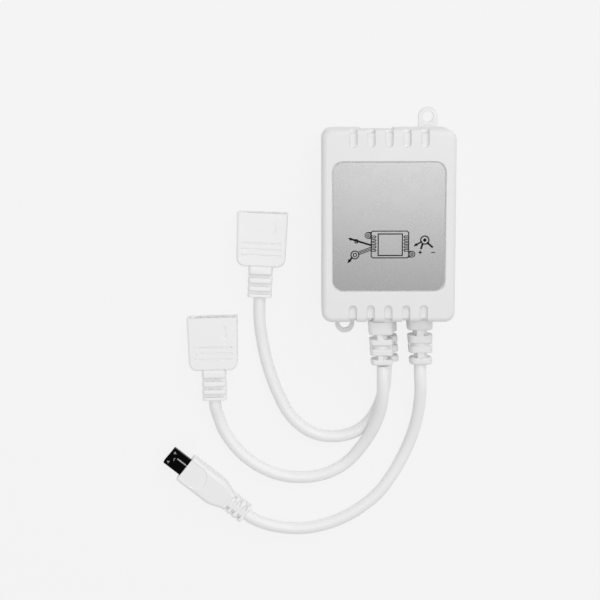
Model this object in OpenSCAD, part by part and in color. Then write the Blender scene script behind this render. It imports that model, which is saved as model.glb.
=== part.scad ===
// Two-output LED strip controller, in millimetres.
// X runs across the housing, Y along it towards the power inlet, Z up.
// The origin is on the underside, at the middle of the housing.

/* [Housing] */
// Width of the housing
body_w = 44.4; // [43:0.2:60]
// Length of the housing between its end walls
body_l = 64; // [62:1:90]
// Height of the closed housing
body_h = 22; // [20.5:0.5:30]
// Height of the parting line between base and cover
split_z = 10.8; // [10.2:0.2:13]
// Thickness of the side and end walls
wall_t = 1.8; // [1.6:0.1:2.6]
// Thickness of the base's floor
floor_t = 1.8; // [1.2:0.1:2.4]
// Thickness of the cover's top
top_t = 2; // [1.6:0.1:3]
// Radius of the upright corners
corner_r = 3.4; // [3:0.1:6]
// Radius of the rounding along the cover's top edges
edge_r = 1.8; // [0.8:0.1:2.6]
// Height of the locating lip on the base
lip_h = 1.2; // [0.8:0.1:2]
// Thickness of the locating lip
lip_t = 0.8; // [0.6:0.1:1.2]

/* [Mounting ears] */
// Distance of each ear's hole from the housing's long axis
ear_x = 14.1; // [8:0.1:15]
// Distance of each ear's hole beyond its end wall
ear_reach = 3.5; // [3:0.1:6]
// Radius of an ear's round end
ear_r = 3.3; // [2.8:0.1:4.5]
// Thickness of an ear
ear_t = 2; // [1.2:0.1:4]
// Diameter of an ear's hole
ear_hole_d = 3.6; // [2.6:0.1:4.2]

/* [Vent grooves] */
// Number of grooves at each end
groove_n = 5; // [1:1:6]
// Width of a groove
groove_w = 2.6; // [1.6:0.1:3.4]
// Distance from groove to groove
groove_pitch = 5.9; // [4.5:0.1:6.4]
// Length of a groove on the top face
groove_run = 5.8; // [4:0.1:8]
// Height of a groove on the end wall
groove_drop = 4.5; // [2:0.1:5]
// Depth of a groove
groove_depth = 1; // [0.4:0.1:1.2]

/* [Label] */
// Width of the label
label_w = 37.2; // [20:0.2:38]
// Length of the label
label_l = 42.8; // [20:0.2:46]
// Corner radius of the label
label_r = 3.3; // [1:0.1:6]
// Thickness of the label
label_t = 0.2; // [0.1:0.05:0.3]
// Depth of the recess that holds the label
label_recess = 0.35; // [0.3:0.05:0.8]

/* [Strain reliefs at the housing] */
// Place of the stacked pair across the end wall
pair_x = -1.7; // [-6:0.1:0]
// Place of the single one across the end wall, as a share of the housing's width
single_x_share = 0.25; // [0.2:0.01:0.28]
// Width of the first block, next to the wall
relief_w = 9.1; // [8:0.1:10]
// Width of the last rib
relief_end_w = 7.9; // [7:0.1:8.8]
// Height that one strain relief takes in the wall
relief_pitch = 7.6; // [6.8:0.1:8]
// Length outside the wall
relief_l = 16; // [13:0.5:22]
// Width of the neck in the wall
relief_neck_w = 6.8; // [6:0.1:7.6]
// Thickness of the flange inside the wall
relief_flange_t = 1.6; // [1:0.1:2.4]

/* [Leads] */
// Diameter of the leads
cord_d = 4.2; // [3.6:0.1:4.6]
// Diameter of one insulated conductor
wire_d = 1.2; // [0.8:0.1:1.4]

/* [Circuit board] */
// Thickness of the board
board_t = 1.6; // [1:0.1:2]
// Length of the board
board_l = 50; // [48:1:52]
// Height of the board's posts above the floor
post_h = 2; // [1.6:0.1:3]
// Diameter of a board post
post_d = 4; // [3:0.1:5]
// Diameter of the locating pin on a post
post_pin_d = 1.6; // [1:0.1:2.2]

/* [Power inlet] */
// Place of the inlet across the end wall
jack_x = -3.55; // [-6:0.05:0]
// Width of the inlet's housing
jack_w = 9; // [8:0.1:10]
// Height of the inlet's housing
jack_h = 11; // [9.8:0.1:12]
// Length of the inlet's housing
jack_l = 14.2; // [12:0.1:15]
// Height of the inlet's axis above the board
jack_axis_h = 6.5; // [5:0.1:7]
// Diameter of the inlet's barrel
jack_bore_d = 6.4; // [5.8:0.1:7]
// Depth of the inlet's barrel
jack_bore_l = 10; // [9:0.1:11]
// Diameter of the centre pin
jack_pin_d = 2; // [1.9:0.1:2.5]

/* [Strip sockets] */
// Width of a socket's body
socket_w = 17.3; // [16:0.1:22]
// Length of a socket's body
socket_l = 18.4; // [16:0.1:24]
// Thickness of a socket's body
socket_t = 7.4; // [6.6:0.1:9]
// Radius of the rear corners of a socket's body
socket_corner_r = 2.8; // [1.5:0.1:4]
// Distance from contact to contact
contact_pitch = 2.54; // [2:0.02:3]
// Number of contacts in a socket
contact_n = 4; // [2:1:4]
// Diameter of a contact hole
contact_hole_d = 1; // [0.7:0.05:1.1]

/* [Receiver plug] */
// Width of the plug's body
plug_w = 10.4; // [9.6:0.1:12]
// Thickness of the plug's body
plug_t = 6.6; // [6:0.1:8]
// Width of the plug's metal shell
shell_w = 6.8; // [6.4:0.05:7.4]
// Height of the plug's metal shell
shell_h = 2.1; // [2:0.05:2.4]
// Length of the metal shell in front of the body
shell_l = 7.3; // [6.6:0.1:8]

/* [Hidden] */
$fn = 48;

// Colours
abs_white = "#f0f0ee";
pvc_white = "#ececea";
foil_silver = "#b9b9b9";
board_green = "#1f6b3a";
plastic_black = "#1a1a1a";
metal_bright = "#c8c8c8";
metal_black = "#121212";
sleeve_blue = "#20304a";
solder_grey = "#9ea3a6";
brass_gold = "#c9a24a";

// One overrun serves all cuts, and one gap serves all pieces that are laid into each other
over = 1;
fit = 0.1;
running = 0.04;

// Places along Z
board_z = floor_t + post_h;
board_top = board_z + board_t;
jack_z = board_top + jack_axis_h;
jack_top = board_top + jack_h;

// The board lies against the inlet's end wall
end_y = body_l / 2;
inner_w = body_w - 2 * wall_t;
inner_l = body_l - 2 * wall_t;
board_gap = 0.5;
board_w = inner_w - 2 * board_gap;
board_front = inner_l / 2 - board_gap;
board_y = board_front - board_l / 2;
post_inset = 3;
post_pin_rise = 0.4;

// Inlet pocket: a shallow recess in the end wall that runs down to the underside
pocket_side = 1.1;
pocket_depth = 0.5;
jack_y = end_y - pocket_depth;

// Strain reliefs: the rib lengths are shares of the length outside the wall,
// in the order block, side slots, rib, top and bottom slots, rib, side slots, rib
pair_rib_shares = [0.32, 0.085, 0.125, 0.075, 0.15, 0.085, 0.16];
single_rib_shares = [0.255, 0.10, 0.16, 0.09, 0.135, 0.10, 0.16];
relief_r = 1.2;
relief_taper = 0.6;
relief_web = 2.8;
relief_core_d = cord_d + 0.8;
upper_lean = 0.4;
lower_lean = 1.9;
single_lean = 0.5;
single_x = single_x_share * body_w;
upper_z = split_z + relief_pitch / 2;
lower_z = split_z - relief_pitch / 2;
exit_y = -end_y - relief_l;
straight = 4;
end_straight = 2;

// Sockets: where the lead enters, and how far the socket is turned
upper_socket_pos = [-59.1, -62];
upper_socket_turn = 1.3;
lower_socket_pos = [-43.4, -26];
lower_socket_turn = -2.6;
socket_relief_l = 10.8;
socket_relief_w = 8.3;
socket_relief_h = 6.6;
socket_rib_shares = [0.28, 0.10, 0.17, 0.10, 0.15, 0.10, 0.10];
socket_groove = 0.8;
socket_edge_r = 1.2;
socket_taper = 0.35;
socket_z = socket_t / 2;
insert_side = 1.75;
insert_w = (contact_n - 1) * contact_pitch + 2 * insert_side;
insert_h = 4;
insert_l = 12;
insert_sink = 0.3;
contact_d = 1.7;
contact_front = 0.9;
contact_l = 8;
grip_n = 3;
grip_pitch = 2.06;
grip_w = 0.45;
grip_l = 13.4;
grip_depth = 0.2;
grip_from_rear = 3.7;

// Plug: where the lead enters, and how far the plug is turned
plug_pos = [-48.7, -103];
plug_turn = 51.3;
plug_relief_l = 8.3;
plug_relief_w = 7.1;
plug_relief_h = 5.6;
plug_rib_shares = [0.145, 0.108, 0.169, 0.108, 0.205, 0.108, 0.157];
plug_taper_l = 6.2;
plug_straight_l = 12.4;
plug_edge_r = 1.6;
plug_z = plug_t / 2;
thumb_r = 4.1;
thumb_from_front = 4.5;
thumb_depth = 0.3;
shell_t = 0.25;
shell_buried = 4;
shell_chamfer = 0.5;
latch_x = 2;
latch_w = 0.9;
latch_t = 0.2;
latch_root_l = 0.6;
barb_l = 1.2;
barb_rise = 0.3;
barb_back = 0.6;
window_gap = 0.12;
tongue_t = 0.6;
tongue_l = 9.4;
plug_contact_n = 5;
plug_contact_pitch = 0.9;
plug_contact_w = 0.4;
plug_contact_t = 0.1;
plug_contact_l = 4.8;

// Routes of the leads between their straight ends, chosen by hand, in millimetres
lower_route = [
    [-0.4, -56.5, 5.9], [-1.3, -61, 4.6], [-2.9, -65.5, 3.3], [-5.3, -69.6, 2.5], [-8.4, -72.6, 2.2],
    [-12.8, -74.7, 2.1], [-18.5, -75.5, 2.1], [-24.4, -74.5, 2.1], [-29.6, -71.4, 2.1],
    [-33.6, -67, 2.1], [-36.6, -61.5, 2.1], [-39.2, -55, 2.1], [-41.2, -48.4, 2.1],
    [-42.6, -41.4, 2.2], [-43.4, -35, 3]
];
upper_route = [
    [-1.3, -56.5, 13.6], [-1.5, -61, 11.9], [-2.3, -65.5, 9.7], [-3.7, -70, 7.6], [-5.9, -74.8, 5.3],
    [-9, -79.8, 3.4], [-12.7, -84.2, 2.3], [-17.5, -87.5, 2.1], [-23.5, -89.6, 2.1],
    [-29.7, -90.2, 2.1], [-36, -89.5, 2.1], [-42, -87.3, 2.1], [-47.3, -84, 2.1],
    [-51.3, -80.3, 2.1], [-54.3, -76.4, 2.1], [-56.5, -72.6, 2.2], [-57.9, -68.5, 2.6]
];
receiver_route = [
    [11.8, -57, 9.7], [11.6, -62, 8], [11, -67.5, 6], [9.8, -73, 4.3], [8, -78.5, 3],
    [5.4, -84.3, 2.3], [2, -90.2, 2.1], [-2.4, -96, 2.1], [-8, -100.8, 2.1], [-14.6, -104.8, 2.1],
    [-22, -107.5, 2.1], [-29.7, -108.7, 2.1], [-36.6, -108.2, 2.2], [-41.4, -107, 2.7]
];

// Points and turns
function turned(p, angle) = [
    p[0] * cos(angle) - p[1] * sin(angle),
    p[0] * sin(angle) + p[1] * cos(angle)
];
function placed(pos, angle, p) = [pos[0] + turned(p, angle)[0], pos[1] + turned(p, angle)[1], p[2]];
function sum_to(list, n) = n <= 0 ? 0 : list[n - 1] + sum_to(list, n - 1);
function unit(v) = v / norm(v);
function mix(a, b, t) = a * (1 - t) + b * t;

// A route's whole line: straight out of the housing, along the points, and straight into its end piece
function whole_route(x, z, points, pos, angle, end_z) = concat(
    [[x, exit_y, z], [x, exit_y - straight, z]],
    points,
    [placed(pos, angle, [0, -end_straight, end_z]), placed(pos, angle, [0, 0, end_z])]
);

// Tube swept along points; across stays clear of every tangent
function tangent(points, i) =
    i == 0 ? unit(points[1] - points[0]) :
    i == len(points) - 1 ? unit(points[i] - points[i - 1]) :
    unit(unit(points[i + 1] - points[i]) + unit(points[i] - points[i - 1]));
function ring(p, along, across, r, sides) =
    let (side = unit(cross(along, across)), rise = cross(side, along))
    [for (k = [0:sides - 1]) p + r * (cos(360 * k / sides) * side + sin(360 * k / sides) * rise)];
function flat_list(lists) = [for (a = lists) for (b = a) b];

module tube(points, r, sides, across) {
    n = len(points);
    rings = [for (i = [0:n - 1]) ring(points[i], tangent(points, i), across, r, sides)];
    skin = [for (i = [0:n - 2]) for (k = [0:sides - 1])
        let (a = i * sides + k, b = i * sides + (k + 1) % sides)
        [[a, b, a + sides], [b, b + sides, a + sides]]];
    first = [for (k = [1:sides - 2]) [0, k + 1, k]];
    last = [for (k = [1:sides - 2]) [(n - 1) * sides, (n - 1) * sides + k, (n - 1) * sides + k + 1]];
    polyhedron(flat_list(rings), concat(flat_list(skin), first, last));
}

// Flat outlines
module rounded_rect(w, l, r) {
    square([w - 2 * r, l], center = true);
    square([w, l - 2 * r], center = true);
    for (x = [-1, 1], y = [-1, 1])
        translate([x * (w / 2 - r), y * (l / 2 - r)])
            circle(r);
}

// Block along +Y with a rounded cross-section, centred on Z
module bar(w, h, l, r) {
    rotate([-90, 0, 0])
        linear_extrude(l)
            rounded_rect(w, h, min(r, h / 2 - running));
}

// Box with round upright corners and a rounding along its top edges
module rounded_box(w, l, h, r, top) {
    low = h - top;
    for (x = [-1, 1], y = [-1, 1])
        translate([x * (w / 2 - r), y * (l / 2 - r), 0])
            rotate_extrude()
                intersection() {
                    union() {
                        square([r, low]);
                        square([r - top, h]);
                        translate([r - top, low])
                            circle(top);
                    }
                    square([r, h]);
                }
    linear_extrude(low) {
        square([w - 2 * r, l], center = true);
        square([w, l - 2 * r], center = true);
    }
    linear_extrude(h) {
        square([w - 2 * r, l - 2 * top], center = true);
        square([w - 2 * top, l - 2 * r], center = true);
    }
    for (side = [-1, 1]) {
        translate([side * (w / 2 - top), 0, low])
            rotate([90, 0, 0])
                cylinder(h = l - 2 * r, r = top, center = true);
        translate([0, side * (l / 2 - top), low])
            rotate([0, 90, 0])
                cylinder(h = w - 2 * r, r = top, center = true);
    }
}

// Housing cuts that base and cover share
module relief_notches() {
    notch_w = relief_neck_w + 2 * fit;
    translate([pair_x, -end_y, split_z])
        cube([notch_w, 2 * (wall_t + over), 2 * relief_pitch], center = true);
    translate([single_x, -end_y, split_z])
        cube([notch_w, 2 * (wall_t + over), relief_pitch], center = true);
}

module inlet_cuts() {
    opening_w = jack_w + 2 * fit;
    pocket_w = jack_w + 2 * pocket_side;
    translate([jack_x - opening_w / 2, end_y - wall_t - over, board_top - fit])
        cube([opening_w, wall_t + 2 * over, jack_h + 2 * fit]);
    translate([jack_x - pocket_w / 2, jack_y, -over])
        cube([pocket_w, pocket_depth + over, jack_top + pocket_depth + over]);
}

module vent_grooves() {
    for (end = [0, 1], k = [0:groove_n - 1])
        rotate([0, 0, 180 * end])
            translate([(k - (groove_n - 1) / 2) * groove_pitch, end_y, 0]) {
                translate([0, 0, body_h - groove_depth])
                    linear_extrude(groove_depth + over) {
                        translate([0, groove_w / 2 - groove_run])
                            circle(groove_w / 2);
                        translate([-groove_w / 2, groove_w / 2 - groove_run])
                            square([groove_w, groove_run + over]);
                    }
                translate([-groove_w / 2, -groove_depth, body_h - groove_drop])
                    cube([groove_w, groove_depth + over, groove_drop + over]);
            }
}

module ear_outline() {
    circle(ear_r);
    translate([-ear_r, -ear_reach - wall_t / 2])
        square([2 * ear_r, ear_reach + wall_t / 2]);
}

module at_posts() {
    for (x = [-1, 1], y = [-1, 1])
        translate([x * (board_w / 2 - post_inset), board_y + y * (board_l / 2 - post_inset), 0])
            children();
}

module base_shell() {
    lip_inset = wall_t - lip_t;
    color(abs_white)
        difference() {
            union() {
                linear_extrude(split_z)
                    rounded_rect(body_w, body_l, corner_r);
                linear_extrude(split_z + lip_h)
                    rounded_rect(body_w - 2 * lip_inset, body_l - 2 * lip_inset, corner_r - lip_inset);
                for (end = [0, 1])
                    rotate([0, 0, 180 * end])
                        translate([ear_x, end_y + ear_reach, 0])
                            linear_extrude(ear_t)
                                ear_outline();
            }
            difference() {
                translate([0, 0, floor_t])
                    linear_extrude(split_z + lip_h)
                        rounded_rect(inner_w, inner_l, corner_r - wall_t);
                at_posts() {
                    cylinder(h = board_z, d = post_d);
                    cylinder(h = board_top + post_pin_rise, d = post_pin_d);
                }
            }
            relief_notches();
            inlet_cuts();
            for (end = [0, 1])
                rotate([0, 0, 180 * end])
                    translate([ear_x, end_y + ear_reach, -over])
                        cylinder(h = ear_t + 2 * over, d = ear_hole_d);
        }
}

module top_cover() {
    rebate = wall_t - lip_t - fit;
    color(abs_white)
        difference() {
            rounded_box(body_w, body_l, body_h, corner_r, edge_r);
            linear_extrude(2 * split_z, center = true)
                square([body_w + over, body_l + over], center = true);
            linear_extrude(body_h - top_t)
                rounded_rect(inner_w, inner_l, corner_r - wall_t);
            linear_extrude(split_z + lip_h + fit)
                rounded_rect(body_w - 2 * rebate, body_l - 2 * rebate, corner_r - rebate);
            relief_notches();
            inlet_cuts();
            vent_grooves();
            translate([0, 0, body_h - label_recess])
                linear_extrude(label_recess + over)
                    rounded_rect(label_w + 2 * fit, label_l + 2 * fit, label_r + fit);
        }
}

module label_plate() {
    color(foil_silver)
        translate([0, 0, body_h - label_recess])
            linear_extrude(label_t)
                rounded_rect(label_w, label_l, label_r);
}

// Circuit board and what is soldered to it. Places are shares of the board's width and length from its middle
control_chip_share = [-0.22, 0.02];
memory_chip_share = [-0.31, -0.19];
regulator_share = [-0.33, 0.2];
transistor_share = [0.02, -0.07];
transistor_pitch_share = 0.186;
transistor_pitch = transistor_pitch_share * board_w;
capacitor_share = [0.26, 0.33];
diode_share = [-0.35, 0.36];
resistor_share = [0.02, 0.08];
chip_capacitor_share = [-0.05, 0.19];
pad_pitch = 2.54;
pad_edge = 3.1;
pad_row_gap = 5.6;
pair_leads = 4;
single_leads = 3;
near_pads_y = board_y - board_l / 2 + pad_edge;
far_pads_y = near_pads_y + pad_row_gap;

function on_board(share) = [share[0] * board_w, board_y + share[1] * board_l, board_top];
function pad_x(i, n) = (i - (n - 1) / 2) * pad_pitch;

module at_pads() {
    for (i = [0:pair_leads - 1], y = [near_pads_y, far_pads_y])
        translate([pair_x + pad_x(i, pair_leads), y, 0])
            children();
    for (i = [0:single_leads - 1])
        translate([single_x + pad_x(i, single_leads), far_pads_y, 0])
            children();
}

module circuit_board() {
    color(board_green)
        difference() {
            translate([-board_w / 2, board_y - board_l / 2, board_z])
                cube([board_w, board_l, board_t]);
            at_posts()
                cylinder(h = board_top + over, d = post_pin_d + 2 * fit);
        }
}

// Gull-wing package: body, and one row of leads on each long side
chip_w = 3.9;
chip_h = 1.5;
control_chip_l = 9.9;
control_chip_leads = 8;
memory_chip_l = 4.9;
memory_chip_leads = 4;
lead_pitch = 1.27;
lead_w = 0.4;
lead_t = 0.2;
lead_reach = 1;

module leaded_chip(l, lead_n) {
    translate([-l / 2, -chip_w / 2, 0])
        cube([l, chip_w, chip_h]);
    for (i = [0:lead_n - 1], side = [0, 1])
        rotate([0, 0, 180 * side])
            translate([(i - (lead_n - 1) / 2) * lead_pitch - lead_w / 2, chip_w / 2 - lead_t, 0]) {
                translate([0, 0, chip_h / 2])
                    cube([lead_w, lead_reach / 2 + lead_t, lead_t]);
                translate([0, lead_reach / 2, 0])
                    cube([lead_w, lead_t, chip_h / 2 + lead_t]);
                translate([0, lead_reach / 2, 0])
                    cube([lead_w, lead_reach / 2 + lead_t, lead_t]);
            }
}

module control_chip() {
    color(plastic_black)
        translate(on_board(control_chip_share))
            leaded_chip(control_chip_l, control_chip_leads);
}

module memory_chip() {
    color(plastic_black)
        translate(on_board(memory_chip_share))
            leaded_chip(memory_chip_l, memory_chip_leads);
}

// Small regulator: body, heat tab on one side and three leads on the other
regulator_size = [4.5, 2.5, 1.5];
regulator_tab_w = 1.6;
regulator_pitch = 1.5;

module voltage_regulator() {
    size = regulator_size;
    color(plastic_black)
        translate(on_board(regulator_share)) {
            translate([-size[0] / 2, -size[1] / 2, 0])
                cube(size);
            translate([-regulator_tab_w / 2, size[1] / 2, 0])
                cube([regulator_tab_w, lead_reach / 2, 2 * lead_t]);
            for (i = [-1:1])
                translate([i * regulator_pitch - lead_w / 2, -size[1] / 2 - lead_reach, 0])
                    cube([lead_w, lead_reach, 2 * lead_t]);
        }
}

// Power transistor: body, heat tab behind it and two leads in front
transistor_gap = 0.9;
transistor_size = [transistor_pitch - transistor_gap, 6.1, 2.3];
transistor_lead = [0.8, 2.7, 0.5];
transistor_lead_edge = 0.57;
transistor_lead_x = transistor_size[0] / 2 - transistor_lead_edge - transistor_lead[0] / 2;
transistor_tab_edge = 0.65;
transistor_tab = [transistor_size[0] - 2 * transistor_tab_edge, 1.1, 0.5];

module power_transistor(i) {
    size = transistor_size;
    color(plastic_black)
        translate(on_board(transistor_share) + [i * transistor_pitch, 0, 0]) {
            translate([-size[0] / 2, -size[1] / 2, 0])
                cube(size);
            translate([-transistor_tab[0] / 2, size[1] / 2, 0])
                cube(transistor_tab);
            for (side = [-1, 1])
                translate([side * transistor_lead_x - transistor_lead[0] / 2, -size[1] / 2 - transistor_lead[1], 0])
                    cube(transistor_lead);
        }
}

// Round can with a bead near its foot and a sleeve over its edge
capacitor_d = 8;
capacitor_h = 11;
capacitor_bead = 0.4;
capacitor_bead_z = 1.6;

module smoothing_capacitor() {
    r = capacitor_d / 2;
    color(sleeve_blue)
        translate(on_board(capacitor_share))
            rotate_extrude()
                difference() {
                    square([r, capacitor_h]);
                    translate([r, capacitor_bead_z])
                        circle(capacitor_bead);
                    translate([0, capacitor_h - capacitor_bead / 2])
                        square([r - 2 * capacitor_bead, capacitor_bead]);
                }
}

// Moulded diode with a flat lead at each end
diode_size = [4.3, 2.6, 2.2];
diode_lead_w = 1.5;

module input_diode() {
    size = diode_size;
    color(plastic_black)
        translate(on_board(diode_share)) {
            translate([-size[0] / 2, -size[1] / 2, 0])
                cube(size);
            translate([-size[0] / 2 - lead_reach / 2, -diode_lead_w / 2, 0])
                cube([size[0] + lead_reach, diode_lead_w, 2 * lead_t]);
        }
}

// Rows of like chips: ceramic body between two metal end caps that stand a little proud
chip_size = [1.25, 2];
chip_cap_l = 0.4;
chip_proud = 0.05;
resistor_h = 0.5;
resistor_n = 6;
resistor_pitch = 2.9;
chip_capacitor_h = 1.1;
chip_capacitor_n = 4;
chip_capacitor_pitch = 3.2;

module chip_row(n, pitch, h) {
    for (i = [0:n - 1])
        translate([i * pitch, 0, 0]) {
            translate([-chip_size[0] / 2, -chip_size[1] / 2, 0])
                cube([chip_size[0], chip_size[1], h]);
            for (side = [-1, 1])
                translate([0, side * (chip_size[1] - chip_cap_l) / 2, (h + chip_proud) / 2])
                    cube([chip_size[0] + 2 * chip_proud, chip_cap_l, h + chip_proud], center = true);
        }
}

module chip_resistors() {
    color(plastic_black)
        translate(on_board(resistor_share))
            chip_row(resistor_n, resistor_pitch, resistor_h);
}

module chip_capacitors() {
    color("tan")
        translate(on_board(chip_capacitor_share))
            chip_row(chip_capacitor_n, chip_capacitor_pitch, chip_capacitor_h);
}

solder_d = 1.9;
solder_tip_d = 0.8;
solder_h = 0.8;

module solder_joints() {
    color(solder_grey)
        at_pads()
            translate([0, 0, board_z - solder_h])
                cylinder(h = solder_h, d1 = solder_tip_d, d2 = solder_d);
}

// Power inlet: moulded housing with a round barrel, a centre pin with a thinner shank through its back, and a
// leaf spring under it. Pin and spring each end in a flat tail on the board behind the housing
jack_shoulder_l = 3.4;
jack_pin_sink = 0.8;
jack_pin_shoulder = 0.3;
jack_shank_d = jack_pin_d - 2 * jack_pin_shoulder;
jack_tail_t = 0.5;
jack_tail_gap = 0.4;
jack_tail_w = 2;
jack_spring_w = 2.4;
jack_spring_t = 0.3;
jack_spring_front = 2.1;
jack_back_y = jack_y - jack_l;
jack_spring_z = jack_z - jack_bore_d / 2 - jack_spring_t;
pin_tail_y = jack_back_y - 2 * jack_tail_gap - jack_tail_t;

module jack_housing() {
    color(plastic_black)
        difference() {
            union() {
                translate([jack_x - jack_w / 2, jack_y - jack_shoulder_l, board_top])
                    cube([jack_w, jack_shoulder_l, jack_h]);
                translate([jack_x - jack_w / 2, jack_back_y, board_top])
                    cube([jack_w, jack_l, jack_axis_h]);
                translate([jack_x, jack_y, jack_z])
                    rotate([90, 0, 0])
                        cylinder(h = jack_l, d = min(jack_w, 2 * (jack_h - jack_axis_h)));
            }
            translate([jack_x, jack_y + over, jack_z])
                rotate([90, 0, 0])
                    cylinder(h = jack_bore_l + over, d = jack_bore_d);
            translate([jack_x, jack_y, jack_z])
                rotate([90, 0, 0])
                    cylinder(h = jack_l + over, d = jack_shank_d + 2 * running);
            translate([jack_x - jack_spring_w / 2 - fit, jack_back_y - over, jack_spring_z - fit])
                cube([
                    jack_spring_w + 2 * fit,
                    jack_l - jack_spring_front + fit + over,
                    jack_spring_t + 2 * fit
                ]);
        }
}

module jack_pin() {
    color(metal_bright)
        union() {
            translate([jack_x, jack_y - jack_pin_sink, jack_z])
                rotate([90, 0, 0]) {
                    cylinder(h = jack_bore_l - jack_pin_sink, d = jack_pin_d);
                    cylinder(h = jack_y - jack_pin_sink - pin_tail_y, d = jack_shank_d);
                }
            translate([jack_x - jack_tail_w / 2, pin_tail_y, board_top])
                cube([jack_tail_w, jack_tail_t, jack_axis_h]);
        }
}

module jack_spring() {
    tail_y = jack_back_y - jack_tail_gap;
    color(metal_bright)
        translate([jack_x - jack_spring_w / 2, tail_y, 0]) {
            translate([0, 0, jack_spring_z])
                cube([jack_spring_w, jack_y - jack_spring_front - tail_y, jack_spring_t]);
            translate([0, 0, board_top])
                cube([jack_spring_w, jack_spring_t, jack_spring_z + jack_spring_t - board_top]);
        }
}

// Ribbed strain relief along +Y from the face that it stands on. The shares are its ribs and slots in turn.
// A slot keeps an upright web where across is true, and a level web where it is false, beside the core
module ribbed_relief(size, end_size, l, shares, across, core_d, web, lean) {
    for (i = [0:len(shares) - 1]) {
        from = sum_to(shares, i);
        middle = from + shares[i] / 2;
        w = mix(size[0], end_size[0], middle);
        h = mix(size[1], end_size[1], middle);
        translate([lean * middle * middle, from * l, 0])
            if (i % 2 == 0) {
                bar(w, h, shares[i] * l, relief_r);
            } else {
                rotate([-90, 0, 0])
                    cylinder(h = shares[i] * l, d = core_d);
                if (across[(i - 1) / 2])
                    bar(web, h - relief_taper, shares[i] * l, relief_taper);
                else
                    bar(w - relief_taper, web, shares[i] * l, relief_taper);
            }
    }
}

// Middle of the last rib, as a share of the whole length
function last_middle(shares) = 1 - shares[len(shares) - 1] / 2;
function leaned(lean, shares) = lean * last_middle(shares) * last_middle(shares);

upper_exit_x = pair_x + leaned(upper_lean, pair_rib_shares);
lower_exit_x = pair_x + leaned(lower_lean, pair_rib_shares);
single_exit_x = single_x + leaned(single_lean, single_rib_shares);
relief_back_y = end_y - wall_t - fit - relief_flange_t;

module housing_relief(x, z, shares, lean) {
    neck_h = relief_pitch - 2 * fit;
    color(pvc_white)
        translate([x, -end_y, z])
            rotate([0, 0, 180]) {
                translate([0, fit, 0])
                    ribbed_relief(
                        [relief_w, neck_h], [relief_end_w, neck_h - relief_taper], relief_l - fit,
                        shares, [true, false, true], relief_core_d, relief_web, -lean);
                translate([-relief_neck_w / 2, -wall_t - fit, -neck_h / 2])
                    cube([relief_neck_w, wall_t + 2 * fit, neck_h]);
                translate([-relief_w / 2, -wall_t - fit - relief_flange_t, -neck_h / 2])
                    cube([relief_w, relief_flange_t, neck_h]);
            }
}

module upper_strain_relief() {
    housing_relief(pair_x, upper_z, pair_rib_shares, upper_lean);
}

module lower_strain_relief() {
    housing_relief(pair_x, lower_z, pair_rib_shares, lower_lean);
}

module receiver_strain_relief() {
    housing_relief(single_x, split_z, single_rib_shares, single_lean);
}

// Conductors: each leaves its strain relief level and comes down on its pad upright
wire_sides = 8;
wire_steps = 7;
wire_spread = 1.5;
wire_straight = 0.8;
wire_reach_share = 0.6;
wire_colours = ["black", "green", "red", "blue"];

function curve(a, b, c, d, t) =
    a * pow(1 - t, 3) + 3 * b * pow(1 - t, 2) * t + 3 * c * (1 - t) * pow(t, 2) + d * pow(t, 3);

function wire_line(start, pad, rise) =
    let (
        a = start + [0, wire_straight, 0],
        d = pad + [0, 0, wire_straight],
        b = [a[0], mix(a[1], d[1], wire_reach_share), a[2]],
        c = d + [0, 0, rise]
    )
    concat([start], [for (k = [0:wire_steps]) curve(a, b, c, d, k / wire_steps)], [pad]);

module lead_wires(x, z, n, pads_y, rise) {
    for (i = [0:n - 1])
        color(wire_colours[i])
            tube(
                wire_line(
                    [x + (i - (n - 1) / 2) * wire_spread, -relief_back_y, z],
                    [x + pad_x(i, n), pads_y, board_top], rise),
                wire_d / 2, wire_sides, [1, 0, 0]);
}

module upper_wires() {
    lead_wires(pair_x, upper_z, pair_leads, far_pads_y, relief_pitch);
}

module lower_wires() {
    lead_wires(pair_x, lower_z, pair_leads, near_pads_y, wire_d);
}

module receiver_wires() {
    lead_wires(single_x, split_z, single_leads, far_pads_y, relief_pitch / 2);
}

// Leads outside the housing
cord_sides = 12;

upper_line = whole_route(upper_exit_x, upper_z, upper_route, upper_socket_pos, upper_socket_turn, socket_z);
lower_line = whole_route(lower_exit_x, lower_z, lower_route, lower_socket_pos, lower_socket_turn, socket_z);
receiver_line = whole_route(single_exit_x, split_z, receiver_route, plug_pos, plug_turn, plug_z);

module upper_cord() {
    color(pvc_white)
        tube(upper_line, cord_d / 2, cord_sides, [0, 0, 1]);
}

module lower_cord() {
    color(pvc_white)
        tube(lower_line, cord_d / 2, cord_sides, [0, 0, 1]);
}

module receiver_cord() {
    color(pvc_white)
        tube(receiver_line, cord_d / 2, cord_sides, [0, 0, 1]);
}

// Strip socket: its frame starts where the lead enters, with +Y towards the mouth
mouth_y = socket_relief_l + socket_l;

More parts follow.
